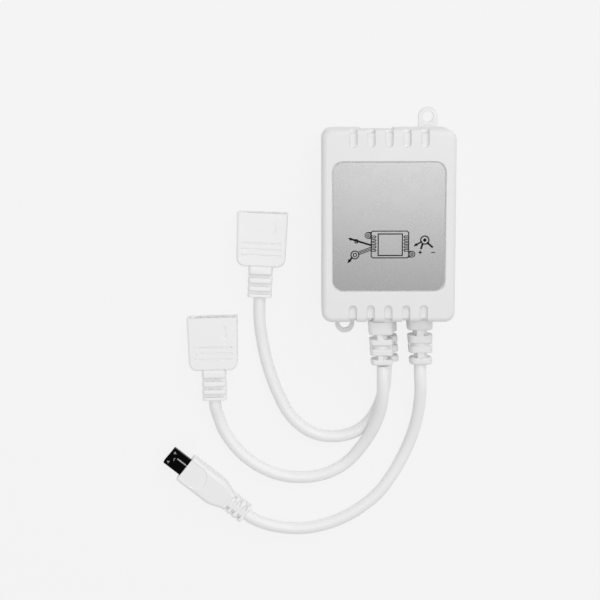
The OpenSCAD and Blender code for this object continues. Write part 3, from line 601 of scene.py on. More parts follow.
def grained(name, colour, patches, grains, **shader_inputs):
    """A material with slightly uneven colour and gloss, and a fine grain.

    patches: their size, how much darker they get, the roughness and how far it goes up and down
    grains: their size, height and strength
    """
    material, tree, shader = new_material(name, **shader_inputs)
    grain(tree, shader, mottle(tree, shader, colour, *patches), *grains)
    return material


def once(build):
    """Build a material only the first time that it is asked for."""
    made = {}

    def give(*arguments):
        if arguments not in made:
            made[arguments] = build(*arguments)
        return made[arguments]
    return give


def finish_colour(name):
    """A colour as the panel's settings hold it."""
    return tuple(getattr(bpy.context.scene.controller.finish, f"{name}_colour"))


@once
def abs_spark_textured():
    """ABS, injection-moulded in a spark-eroded tool: white, and finely matt."""
    # The real grain is about 0.05 mm; it is drawn at 0.22 mm to show
    return grained(
        "abs_injection_moulded_matt", finish_colour("abs"), (9 * MM, 0.018, 0.46, 0.03),
        (0.22 * MM, 0.012 * MM, 0.35), ior=1.53)


@once
def pvc_moulded(colour_key):
    """PVC, injection-moulded: white and glossier than the housing; the strain reliefs' colour is a little
    greyer, as painted shade for the housing's shadow on them.
    """
    return grained(
        f"{colour_key}_injection_moulded", finish_colour(colour_key), (6 * MM, 0.02, 0.4, 0.04),
        (0.5 * MM, 0.01 * MM, 0.3), ior=1.52)


@once
def pvc_extruded():
    """Soft PVC, extruded round the conductors: white and smooth, with a faint unevenness along its length."""
    return grained(
        "pvc_extruded_jacket", finish_colour("pvc"), (5 * MM, 0.02, 0.38, 0.04), (1.2 * MM, 0.03 * MM, 0.3),
        ior=1.52)


@once
def foil_silver():
    """Polyester film, metallised silver with a satin face: it mirrors the light above it, blurred."""
    # Satin grain of about 0.03 mm, drawn at 0.15 mm to show
    return grained(
        "polyester_film_metallised_satin", finish_colour("foil"), (4 * MM, 0.01, 0.27, 0.01),
        (0.15 * MM, 0.002 * MM, 0.3), metallic=0.9)


@once
def ink_black():
    """Screen ink, printed on the film: flat, near black, and duller than the film."""
    return grained(
        "screen_ink_printed", finish_colour("ink"), (1 * MM, 0.1, 0.7, 0.05), (0.1 * MM, 0.003 * MM, 0.3),
        ior=1.5, specular_ior_level=0.12)


@once
def moulded_black():
    """Glass-filled nylon, moulded: near black, and dull."""
    return grained(
        "nylon_moulded_black", finish_colour("black"), (1.5 * MM, 0.15, 0.5, 0.06),
        (0.12 * MM, 0.01 * MM, 0.4), ior=1.53)


@once
def steel_black_plated():
    """Steel, stamped and plated with black nickel: dark and glossy, so that it shows thin bright edges."""
    return grained(
        "steel_stamped_black_nickel", finish_colour("shell"), (1 * MM, 0.2, 0.27, 0.05),
        (0.3 * MM, 0.006 * MM, 0.3), metallic=1.0)


@once
def board_mask():
    """Glass-epoxy laminate under a glossy solder mask: green, and faintly cloudy from the weave below."""
    material, tree, shader = new_material("solder_mask_on_laminate", ior=1.5)
    place = mottle(tree, shader, finish_colour("laminate"), 3 * MM, 0.12, 0.28, 0.04)
    # The glass cloth has a thread every 0.5 mm; it is drawn as faint bands 3.14 mm apart to show
    bands = 3.14 * MM
    # At a scale of 1 the bands of a wave texture lie tau / 20 apart
    scale = math.tau / 20 / bands
    threads = add_node(
        tree, "ShaderNodeTexWave", {"Vector": place.outputs["Object"], "Scale": scale, "Distortion": 0.6},
        wave_type="BANDS", bands_direction="X")
    ridges(tree, shader, threads, 0.004 * MM, 0.15)
    return material


@once
def solder_tin():
    """Solder, melted and set: silvery, bright and a little lumpy."""
    return grained(
        "solder_melted", linear("#C6C7C8"), (0.6 * MM, 0.1, 0.26, 0.06), (0.4 * MM, 0.02 * MM, 0.4),
        metallic=1.0)


@once
def epoxy_moulded():
    """Epoxy, transfer-moulded round the chips: charcoal and finely matt, like fine sandpaper."""
    return grained(
        "epoxy_transfer_moulded", linear("#232324"), (1.2 * MM, 0.12, 0.55, 0.06),
        (0.1 * MM, 0.01 * MM, 0.5), ior=1.55)


@once
def plastic(name, hex_colour, rough):
    """Plain plastic or ceramic as it is moulded, extruded or fired, slightly uneven in colour and gloss."""
    return grained(
        name, linear(hex_colour), (2 * MM, 0.06, rough, rough * 0.12), (0.25 * MM, 0.008 * MM, 0.3), ior=1.5)


@once
def metal(name, hex_colour, rough):
    """Plain metal as it is stamped, drawn or plated: bright, with fine tool marks along Y."""
    material, tree, shader = new_material(name, metallic=1.0)
    place = mottle(tree, shader, linear(hex_colour), 0.8 * MM, 0.08, rough, rough * 0.2)
    # Tool marks, 0.1 mm wide and 2 mm long
    across, along = 1 / (0.1 * MM), 1 / (2 * MM)
    marks = add_node(
        tree, "ShaderNodeMapping", {"Vector": place.outputs["Object"], "Scale": (across, along, across)})
    streaks = add_node(
        tree, "ShaderNodeTexNoise", {"Vector": marks.outputs["Vector"], "Scale": 1.0, "Detail": 1.0})
    ridges(tree, shader, streaks, 0.004 * MM, 0.25)
    return material


# Operators


class CONTROLLER_OT_stage(bpy.types.Operator):
    """Make the camera, the floor, the backdrop and the light"""

    bl_idname = "controller.stage"
    bl_label = "Stage"

    # The camera, in millimetres and degrees, fitted to the photograph
    EYE = (-26.6, 56.8, 551.8)
    AIM = (-29.53, -27.66, 0)
    ROLL = -0.14
    LENS, SENSOR = 96.74, 36
    # Half the side of the floor, in metres
    FLOOR = 2.5

    def execute(self, context):
        settings = context.scene.controller.stage
        context.scene.view_settings.view_transform = "Standard"

        eye, aim = Vector(self.EYE) * MM, Vector(self.AIM) * MM
        ahead = (aim - eye).normalized()
        right = ahead.cross(Vector((0, 1, 0))).normalized()
        up = right.cross(ahead)
        roll = math.radians(self.ROLL)
        right, up = math.cos(roll) * right + math.sin(roll) * up, math.cos(roll) * up - math.sin(roll) * right
        lens = bpy.data.cameras.new("camera")
        lens.sensor_width = self.SENSOR
        lens.lens = self.LENS
        lens.clip_start = 10 * MM
        lens.clip_end = 20
        camera = new_object("camera", lens)
        camera.matrix_world = Matrix.Translation(eye) @ Matrix((right, up, -ahead)).transposed().to_4x4()
        context.scene.camera = camera

        bm = bmesh.new()
        bmesh.ops.create_grid(bm, x_segments=2, y_segments=2, size=self.FLOOR)
        mesh = bpy.data.meshes.new("floor")
        bm.to_mesh(mesh)
        bm.free()
        mesh.materials.append(self.floor_material(tuple(settings.backdrop)))
        new_object("floor", mesh)

        # A small softbox overhead: the upper half of the label mirrors it, and the lower half the backdrop
        self.softbox("overhead", settings.overhead, (110, 120, 900), (110, 120, 0), 420)
        # A softbox beyond the inlet and to its right: walls that face away from it are a little darker
        self.softbox("key", settings.key, (423, 721, 687), (-10, -30, 10), 600)

        world = bpy.data.worlds.new("studio")
        context.scene.world = world
        world.use_nodes = True
        tree = world.node_tree
        tree.nodes.clear()
        seen = self.seen_directly(tree)
        fill = add_node(tree, "ShaderNodeBackground", {"Color": (1, 1, 1, 1), "Strength": settings.fill})
        pale = add_node(tree, "ShaderNodeBackground", {"Color": tuple(settings.backdrop), "Strength": 1.0})
        both = add_node(
            tree, "ShaderNodeMixShader",
            {0: seen, 1: fill.outputs["Background"], 2: pale.outputs["Background"]})
        add_node(tree, "ShaderNodeOutputWorld", {"Surface": both.outputs["Shader"]})
        return {"FINISHED"}

    @staticmethod
    def seen_directly(tree):
        """1 for rays from the camera, or off metal and through glass, and 0 for the light itself."""
        ray = add_node(tree, "ShaderNodeLightPath")
        some = add_node(
            tree, "ShaderNodeMath", {0: ray.outputs["Is Camera Ray"], 1: ray.outputs["Is Glossy Ray"]},
            operation="MAXIMUM")
        most = add_node(
            tree, "ShaderNodeMath", {0: some.outputs[0], 1: ray.outputs["Is Transmission Ray"]},
            operation="MAXIMUM")
        return most.outputs[0]

    def floor_material(self, backdrop):
        """White card: it shows the backdrop's colour, and keeps a soft part of the shadows."""
        material = bpy.data.materials.new("white_card")
        material.use_nodes = True
        tree = material.node_tree
        tree.nodes.clear()
        card = add_node(tree, "ShaderNodeBsdfDiffuse", {"Color": (0.86, 0.86, 0.86, 1)})
        glow = add_node(tree, "ShaderNodeEmission", {"Color": backdrop, "Strength": 1.0})
        shown = add_node(
            tree, "ShaderNodeMixShader", {0: 0.9, 1: card.outputs["BSDF"], 2: glow.outputs["Emission"]})
        both = add_node(
            tree, "ShaderNodeMixShader",
            {0: self.seen_directly(tree), 1: card.outputs["BSDF"], 2: shown.outputs["Shader"]})
        add_node(tree, "ShaderNodeOutputMaterial", {"Surface": both.outputs["Shader"]})
        return material

    @staticmethod
    def softbox(name, power, place, aim, side):
        """A square lamp at a point, turned towards another; places and side in millimetres."""
        lamp = bpy.data.lights.new(name, "AREA")
        lamp.shape = "RECTANGLE"
        lamp.size = lamp.size_y = side * MM
        lamp.energy = power
        box = new_object(name, lamp)
        box.location = Vector(place) * MM
        box.rotation_euler = (Vector(aim) - Vector(place)).to_track_quat("-Z", "Y").to_euler()
        box.visible_camera = False


def inlet_hole():
    """The inlet's opening in the end wall, a little larger than the inlet: its sides, bottom and top."""
    low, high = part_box("jack_housing")
    gap = 0.1 * MM
    return low[0] - gap, high[0] + gap, low[2] - gap, high[2] + gap


def wall_openings(housing, lead):
    """Tools that cut the notches of the strain reliefs and the inlet's opening out of the housing's walls."""
    notch, end, reach = 3.5 * MM, housing.length / 2, housing.wall + OVER
    left, right, bottom, top = inlet_hole()
    notches = [
        block(
            (x - notch, -end - reach, housing.split - half),
            (x + notch, -end + reach, housing.split + half))
        for x, half in ((lead.pair_x, lead.pitch), (lead.single_x, lead.pitch / 2))]
    return notches + [block((left, end - reach, bottom), (right, end + reach, top))]


def inlet_pocket(housing):
    """Tool for the shallow pocket in the end wall round the inlet, open at the bottom."""
    left, right, _, _ = inlet_hole()
    end, deep, side, from_top = housing.length / 2, 0.5 * MM, 1 * MM, 5.1 * MM
    return block((left - side, end - deep, -OVER), (right + side, end + OVER, housing.height - from_top))


class CONTROLLER_OT_base_shell(bpy.types.Operator):
    """Make the base shell with its ears, lip and board posts"""

    bl_idname = "controller.base_shell"
    bl_label = "Base shell"

    def execute(self, context):
        settings = context.scene.controller
        s = settings.housing
        half_w, half_l = s.width / 2, s.length / 2

        # Tray: outer wall, a step to the lip, and the hollow
        body = block((-half_w, -half_l, 0), (half_w, half_l, s.split), corner=s.corner, segments=10)
        top = push(body, level_face(body, s.split), inset=s.wall - s.lip, rise=s.lip_height)
        push(body, top, inset=s.lip, rise=s.floor - s.split - s.lip_height)

        # Ears and board posts grow out of it
        body = combine(body, gather(self.ears(s) + self.posts()), "UNION", tangled=True)

        holes = wall_openings(s, settings.lead)
        for turn in (1, -1):
            place = (turn * s.ear_x, turn * (half_l + s.ear_reach), s.ear_thickness / 2)
            holes.append(rod(place, s.ear_hole / 2, 3 * s.ear_thickness))
        body = combine(body, gather(holes))
        body = combine(body, inlet_pocket(s))
        soften(body, s.soft)
        make_piece("base_shell_moulded", body, [abs_spark_textured()], "housing", "abs_white", "base_shell")
        return {"FINISHED"}

    @staticmethod
    def ears(s):
        """The two mounting ears, at opposite corners, with a round outer end."""
        ears, half_l = [], s.length / 2
        for turn in (1, -1):
            x, y = turn * s.ear_x, turn * (half_l + s.ear_reach)
            inner_y, outer_y = turn * (half_l - s.wall / 2), y + turn * s.ear_radius
            ear = block(
                (x - s.ear_radius, min(inner_y, outer_y), 0),
                (x + s.ear_radius, max(inner_y, outer_y), s.ear_thickness))
            outer = [e for e in ear.edges if runs_along(e, 2) and turn * e.verts[0].co.y > half_l]
            round_off(ear, outer, s.ear_radius * 0.999, 14)
            ears.append(ear)
        return ears

    @staticmethod
    def posts():
        """Four posts under the board, each with a pin that stands through it."""
        low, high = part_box("circuit_board")
        foot, proud, post_radius, pin_radius = 1 * MM, 0.4 * MM, 2 * MM, 0.8 * MM
        posts = []
        for side in (-1, 1):
            x, pin_top = side * (high[0] - POST_INSET), high[2] + proud
            for y in (low[1] + POST_INSET, high[1] - POST_INSET):
                posts.append(rod((x, y, (foot + low[2]) / 2), post_radius, low[2] - foot, segments=28))
                posts.append(rod((x, y, (foot + pin_top) / 2), pin_radius, pin_top - foot, segments=20))
        return posts


class CONTROLLER_OT_top_cover(bpy.types.Operator):
    """Make the top cover with its vent grooves and label recess"""

    bl_idname = "controller.top_cover"
    bl_label = "Top cover"

    def execute(self, context):
        settings = context.scene.controller
        s, label = settings.housing, settings.label
        half_w, half_l, gap = s.width / 2, s.length / 2, 0.1 * MM

        body = block((-half_w, -half_l, s.split), (half_w, half_l, s.height), corner=s.corner, segments=10)
        rim = [e for e in body.edges if is_sharp(e) and min(v.co.z for v in e.verts) > s.height - NEAR]
        round_off(body, rim, s.edge, 8)
        rebate = s.wall - s.lip - gap
        under = push(body, level_face(body, s.split), inset=rebate, rise=s.lip_height + gap)
        push(body, under, inset=s.wall - rebate, rise=s.height - s.top - s.split - s.lip_height - gap)

        tools = wall_openings(s, settings.lead)
        for turn in (0, 180):
            for x in spread(s.groove_count, s.groove_pitch):
                groove = self.groove(s)
                place = placed(0, 0, turn) @ Matrix.Translation((x, 0, 0))
                bmesh.ops.transform(groove, matrix=place, verts=groove.verts)
                tools.append(groove)
        wide, long = label.width / 2 + gap, label.length / 2 + gap
        tools.append(block(
            (-wide, -long, s.height - label.recess), (wide, long, s.height + OVER), corner=label.corner + gap,
            segments=10))
        body = combine(body, gather(tools), tangled=True)
        body = combine(body, inlet_pocket(s))
        # The edge round the recess is rounder than the others
        soften(body, 0.4 * MM, segments=4, chosen=lambda edge: self.round_recess(edge, s.height, wide, long))
        soften(body, s.soft)
        make_piece("top_cover_moulded", body, [abs_spark_textured()], "cover", "abs_white", "top_cover")
        return {"FINISHED"}

    @staticmethod
    def round_recess(edge, height, wide, long):
        """True for the edges round the top of the label's recess."""
        return all(
            abs(v.co.z - height) < NEAR and abs(v.co.x) < wide + NEAR and abs(v.co.y) < long + NEAR
            for v in edge.verts)

    @staticmethod
    def groove(s):
        """Tool for one groove: down the end wall and in over the top, with a round end and bottom."""
        half, end, hollow, top = s.groove_width / 2, s.length / 2, 0.75 * MM, s.height + OVER
        start, bottom, bend = end - s.groove_run + half, s.height - s.groove_drop, s.height - s.groove_depth
        level = block((-half, start, bend), (half, end + OVER, top), axis=1, corner=hollow, segments=5)
        drop = block(
            (-half, end - s.groove_depth, bottom), (half, end + OVER, top), corner=hollow, segments=5)
        tip = rod((0, start, bend + OVER), half, 2 * OVER, segments=40)
        foot = [e for e in tip.edges if is_sharp(e) and e.verts[0].co.z < s.height - s.groove_depth / 2]
        round_off(tip, foot, hollow, 5)
        return gather([level, drop, tip])


class CONTROLLER_OT_label(bpy.types.Operator):
    """Make the foil label and its printed wiring picture"""

    bl_idname = "controller.label"
    bl_label = "Label"

    # The wiring picture, in millimetres, and each width as a share of the printed stroke. Boxes round the
    # controller, its lid and the plug: two corners, how far they are cut, and width
    BOXES = (
        ((-5.8, -10.3), (6.6, -1.4), 0.5, 1), ((-3.5, -9.5), (4.5, -2.35), 0, 1.15),
        ((-11.2, -5.3), (-10.3, -4.2), 0.2, 1))
    # Ears: middle, and towards which side they grow out of the controller
    EARS = ((-6.9, -2.8, 1), (7.7, -9.1, -1))
    # Rings of the receiver and of the power inlet with its pin: middle, radius and width
    RINGS = (
        ((-11.2, -9.3), 1.3, 1.1), ((-11.2, -9.3), 0.55, 1), ((11.9, -4.4), 1.35, 1.3),
        ((11.9, -4.4), 0.25, 2))
    # Lines of the leads and of the power inlet, and its plus and minus signs: width and points
    LINES = (
        (1.9, (-5.8, -6.1), (-12.6, -4.0)), (1.9, (-12.1, -10.2), (-12.9, -11.2)),
        (1.5, (10.9, -4.9), (9.2, -5.9)), (2, (11.2, -5.6), (10.7, -7.2)), (2, (12.8, -5.3), (14.4, -6.7)),
        (1, (9.9, -8.5), (10.9, -8.5)), (1, (10.4, -9.0), (10.4, -8.0)), (1, (14.2, -8.5), (15.2, -8.5)))
    # Arrowheads: tip, and middle of the back
    ARROWS = (((-13.4, -3.7), (-12.4, -4.15)), ((-13.6, -12.0), (-12.8, -11.0)), ((8.3, -6.4), (9.3, -5.8)))

    def execute(self, context):
        label = context.scene.controller.label
        # The foil lies in the middle of its recess, a little smaller than the node
        half_w, half_l = label.width / 2 - 0.15 * MM, label.length / 2 - 0.15 * MM
        under = COVER_HIGH[2] - label.recess
        top = under + LABEL_HIGH[2] - LABEL_LOW[2]
        foil = block(
            (-half_w, -half_l, under), (half_w, half_l, top), corner=label.corner, segments=12, rim=0.05 * MM,
            rim_segments=2)
        make_piece("label_foil", foil, [foil_silver()], "cover", "label_foil", "label_plate")
        marks = self.drawing(label.stroke, top - 0.01 * MM, top + 0.012 * MM)
        make_piece("label_print", gather(marks), [ink_black()], "cover", "label_foil")
        return {"FINISHED"}

    @classmethod
    def drawing(cls, stroke, low, high):
        """The parts of the wiring picture."""
        rings = list(cls.RINGS)
        # The receiver's lead has three conductors
        lines = list(cls.LINES) + [(0.8, (-5.8, y), (-9.9, y - 1.55)) for y in (-6.7, -7.2, -7.7)]
        for x, y, side in cls.EARS:
            for radius in (0.4, 0.95):
                rings.append(((x, y), radius, 0.9))
            lines += [(1, (x, y + away), (x + side * 1.1, y + away)) for away in (0.95, -0.95)]
        # Five grooves at each end of the lid
        for k in range(5):
            y, y_low = -3.0 - 1.12 * k, -3.62 - 1.12 * k
            for x, side in ((-5.8, 1), (6.6, -1)):
                bend, tip = x + side * 1.3, x + side * 1.6
                lines.append((0.9, (x, y), (bend, y), (tip, y - 0.3), (bend, y_low), (x, y_low)))
        marks = [ring(middle, radius, stroke * width, low, high) for middle, radius, width in rings]
        for corner, other, cut, width in cls.BOXES:
            marks += outline(corner, other, cut, stroke * width, low, high)
        for width, *points in lines:
            marks += bars(points, stroke * width, low, high)
        return marks + [cls.arrow(tip, back, low, high) for tip, back in cls.ARROWS]

    @staticmethod
    def arrow(tip, back, low, high):
        """A printed arrowhead from the middle of its back to its tip, in millimetres."""
        tip, back = Vector(tip) * MM, Vector(back) * MM
        long = (tip - back).length
        bm = block((-long / 2, -long / 2, low), (long / 2, long / 2, high))
        for vert in bm.verts:
            vert.co.y *= 1.0 if vert.co.x < 0 else 0.12
        middle = (tip + back) / 2
        return moved(bm, middle.x, middle.y, turn=math.degrees(math.atan2((tip - back).y, (tip - back).x)))


def ribbed_relief(size, length, shares, upright, core, web, crown, corner, first=0.0, aside=0.0, closed=0.0):
    """Solids of a straight ribbed strain relief along +Y, which still lie in each other.

    shares: lengths of block, slot, rib, slot and so on to the end block, as shares of the whole
    upright: for each slot, whether the web in it stands upright or is level
    crown: how far the core lies below the ribs at a level web
    first: where the first block begins
    aside: how far the upright webs lie beside the middle
    closed: thickness of a second, level web; with it, a thin rail closes the slots at each side
    """
    parts, at, lap, thin, rail = [], 0.0, 0.3 * MM, 0.12 * MM, 0.6 * MM
    half_w, half_h = size[0] / 2, size[1] / 2
    for i, share in enumerate(shares):
        low, high = at * length + (first if i == 0 else 0), (at + share) * length
        if i % 2 == 0:
            rim, steps = (0.75 * MM, 4) if i in (0, len(shares) - 1) else (0.4 * MM, 3)
            parts.append(block(
                (-half_w, low, -half_h), (half_w, high, half_h), axis=1, corner=corner, segments=5,
                rim=min(rim, 0.3 * (high - low)), rim_segments=steps))
        else:
            heart = rod((0, (low + high) / 2, 0), core / 2, high - low + 2 * lap, axis=1, segments=40)
            span, shift = (web / 2, half_h - thin), aside
            if not upright[(i - 1) // 2]:
                flat = (0.8 * size[0] / core, 1, (size[1] - 2 * crown) / core)
                bmesh.ops.scale(heart, vec=flat, verts=heart.verts)
                span, shift = (half_w - thin, web / 2), 0
            parts.append(heart)
            parts.append(block(
                (shift - span[0], low - lap, -span[1]), (shift + span[0], high + lap, span[1]), axis=1,
                corner=0.4 * MM, segments=3))
            if closed:
                parts.append(block(
                    (thin - half_w, low - lap, -closed / 2), (half_w - thin, high + lap, closed / 2), axis=1,
                    corner=0.3 * MM, segments=3))
                # The rails end within the flat sides, below the ribs' rounding
                tall = half_h - corner - 0.1 * MM
                for left, right in ((thin - half_w, rail - half_w), (half_w - rail, half_w - thin)):
                    parts.append(block((left, low - lap, -tall), (right, high + lap, tall)))
        at += share
    return parts


def exits(housing, lead):
    """Where each lead passes the end wall: x and z."""
    return {
        "upper": (lead.pair_x, housing.split + lead.pitch / 2),
        "lower": (lead.pair_x, housing.split - lead.pitch / 2),
        "receiver": (lead.single_x, housing.split),
    }


class CONTROLLER_OT_strain_reliefs(bpy.types.Operator):
    """Make the three strain reliefs in the end wall"""

    bl_idname = "controller.strain_reliefs"
    bl_label = "Strain reliefs"

    # Runs of block, slot, rib, slot, rib, slot and end block, in millimetres
    PAIR = (5.12, 1.36, 2.15, 1.15, 2.35, 1.36, 1.95)
    SINGLE = (4.1, 1.6, 2.8, 0.95, 2.45, 1.6, 2.45)
    # Of each, in millimetres: runs, widths at the wall and at the end, how far it stands aside at the wall
    # and leans aside to its end, thickness of its webs, how far the core lies below the ribs at its level
    # web, rounding along its ribs, and how far its upright webs lie beside the middle
    SHAPES = {
        "upper": (PAIR, 8.4, 7.3, -0.72, 0.65, 2.1, 0.4, 1.6, 0.45),
        "lower": (PAIR, 8.4, 7.3, 0.75, 1.6, 2.1, 0.4, 1.6, 0.45),
        "receiver": (SINGLE, 9.0, 7.7, -0.05, 0.6, 2.8, 0.15, 2.6, 0),
    }

    def execute(self, context):
        settings = context.scene.controller
        lead, housing = settings.lead, settings.housing
        places = exits(housing, lead)
        # Each relief fills its notch but for a gap, and grips the wall between its flange and its first block
        gap = 0.1 * MM
        high, inside = lead.pitch - 2 * gap, -housing.wall - gap
        flange_deep, neck_half, lap_in, lap_out = 1.6 * MM, 3.4 * MM, 0.4 * MM, 0.5 * MM
        for name, (runs, wide, end, aside, lean, web, crown, corner, web_aside) in self.SHAPES.items():
            x, z = places[name]
            length = sum(runs) * MM
            parts = gather(ribbed_relief(
                (wide * MM, high), length, [run / sum(runs) for run in runs], (True, False, True), lead.core,
                web * MM, crown * MM, corner * MM, first=gap, aside=web_aside * MM))
            # It grows narrower and flatter to its end, and leans
            for vert in parts.verts:
                share = min(max(vert.co.y / length, 0), 1)
                vert.co.x = vert.co.x * (1 + (end / wide - 1) * share) - (aside + lean * share) * MM
                vert.co.z *= 1 - 0.08 * share
            flange = block(
                (-lead.width / 2, inside - flange_deep, -high / 2), (lead.width / 2, inside, high / 2),
                axis=1, corner=0.5 * MM, segments=3)
            neck = block(
                (-neck_half, inside - lap_in, (gap - high) / 2), (neck_half, lap_out, (high - gap) / 2))
            body = combine(gather([parts, flange]), neck, "UNION", tangled=True)
            soften(body, lead.soft, segments=2, least=35)
            moved(body, x, -housing.length / 2, z, turn=180)
            # The reliefs take the greyer PVC colour, which is painted shade from the housing
            make_piece(
                f"{name}_relief_moulded", body, [pvc_moulded("relief")], "housing", "pvc_white",
                f"{name}_strain_relief")
        return {"FINISHED"}


class CONTROLLER_OT_sockets(bpy.types.Operator):
    """Make the two flat socket bodies with their strain reliefs"""

    bl_idname = "controller.sockets"
    bl_label = "Sockets"

    # Where each lead enters its relief, in millimetres, and which way the socket is turned, in degrees
    PLACES = {"upper": (-59.1, -62, 1.3), "lower": (-43.4, -26, -2.6)}
    SHARES = (0.28, 0.10, 0.17, 0.10, 0.15, 0.10, 0.10)
    # The small arrow: middle, half width and two ends of its shaft, and middle and radius of its head
    ARROW_X, ARROW_HALF, ARROW_Y = 4.35 * MM, 0.3 * MM, (23.2 * MM, 26.4 * MM)
    HEAD_Y, HEAD = 22.6 * MM, 1 * MM

    def execute(self, context):
        s, lead = context.scene.controller.socket, context.scene.controller.lead
        for name, (x, y, turn) in self.PLACES.items():
            ribs = gather(ribbed_relief(
                (8.3 * MM, 6.6 * MM), s.relief, self.SHARES, (False, False, False), lead.core, 3.2 * MM,
                1.6 * MM, lead.corner))
            # The first block is nearly as thick as the body
            for vert in ribs.verts:
                if vert.co.y < (self.SHARES[0] + 0.01) * s.relief:
                    vert.co.z *= 1.1
            moved(ribs, 0, s.relief + 0.2 * MM, s.thickness / 2, turn=180)
            body = combine(ribs, self.body(s), "UNION", tangled=True)
            body = combine(body, self.tools(s), tangled=True)
            soften(body, 0.14 * MM, segments=2, least=35, chosen=self.beside_arrow)
            moved(body, x * MM, y * MM, turn=turn)
            make_piece(
                f"{name}_socket_moulded", body, [pvc_moulded("pvc")], "housing", "pvc_white",
                f"{name}_socket_body")
        return {"FINISHED"}

    @staticmethod
    def body(s):
        """The flat body: it narrows a little to the rear, where its corners are round."""
        half, rear, mouth, narrower = s.width / 2, s.relief, s.relief + s.length, 0.35 * MM
        bm = block((-half, rear, 0), (half, mouth, s.thickness))
        for vert in bm.verts:
            if vert.co.y < rear + NEAR:
                vert.co.x -= math.copysign(narrower, vert.co.x)
        behind = [e for e in bm.edges if runs_along(e, 2) and e.verts[0].co.y < rear + NEAR]
        round_off(bm, behind, s.corner, 8)
        rim = [e for e in bm.edges if is_sharp(e) and min(v.co.y for v in e.verts) < mouth - NEAR]
        rim = [e for e in rim if not runs_along(e, 2)]
        round_off(bm, rim, s.edge, 6)
        return bm

    @classmethod
    def tools(cls, s):
        """Tools for the mouth with the rebate round its insert, the grip lines and the small arrow on top."""
        mouth, top, mid = s.relief + s.length, s.thickness, s.thickness / 2
        tools = []
        # Half width, half height and depth of the mouth and of its rebate
        for half_w, half_h, deep, corner in (
                (5.66 * MM, 2.1 * MM, 12.4 * MM, 0), (7.7 * MM, 2.9 * MM, 1.6 * MM, 0.5 * MM)):
            tools.append(block(
                (-half_w, mouth - deep, mid - half_h), (half_w, mouth + OVER, mid + half_h), axis=1,
                corner=corner, segments=3))
        first_line, pitch, line, half_line, line_deep = 3.7 * MM, 2.06 * MM, 0.55 * MM, 6.7 * MM, 0.5 * MM
        for k in range(3):
            y = s.relief + first_line + pitch * k
            tools.append(block(
                (-half_line, y, top - line_deep), (half_line, y + line, top + OVER), corner=0.25 * MM,
                segments=3))
        # The shaft and the head don't touch, so that the cut stays clean
        floor = top - 0.35 * MM
        tools.append(block(
            (cls.ARROW_X - cls.ARROW_HALF, cls.ARROW_Y[0], floor),
            (cls.ARROW_X + cls.ARROW_HALF, cls.ARROW_Y[1], top + OVER)))
        tools.append(wedge((cls.ARROW_X, cls.HEAD_Y, floor + OVER), cls.HEAD, cls.HEAD, 2 * OVER, math.pi))
        return gather(tools)

    @classmethod
    def beside_arrow(cls, edge):
        """True for every edge but the small arrow's, which stay sharp."""
        x, y = ((edge.verts[0].co + edge.verts[1].co) / 2).xy
        past = 0.2 * MM
        level = abs(x - cls.ARROW_X) < cls.HEAD + past
        return not (level and cls.HEAD_Y - cls.HEAD - past < y < cls.ARROW_Y[1] + past)


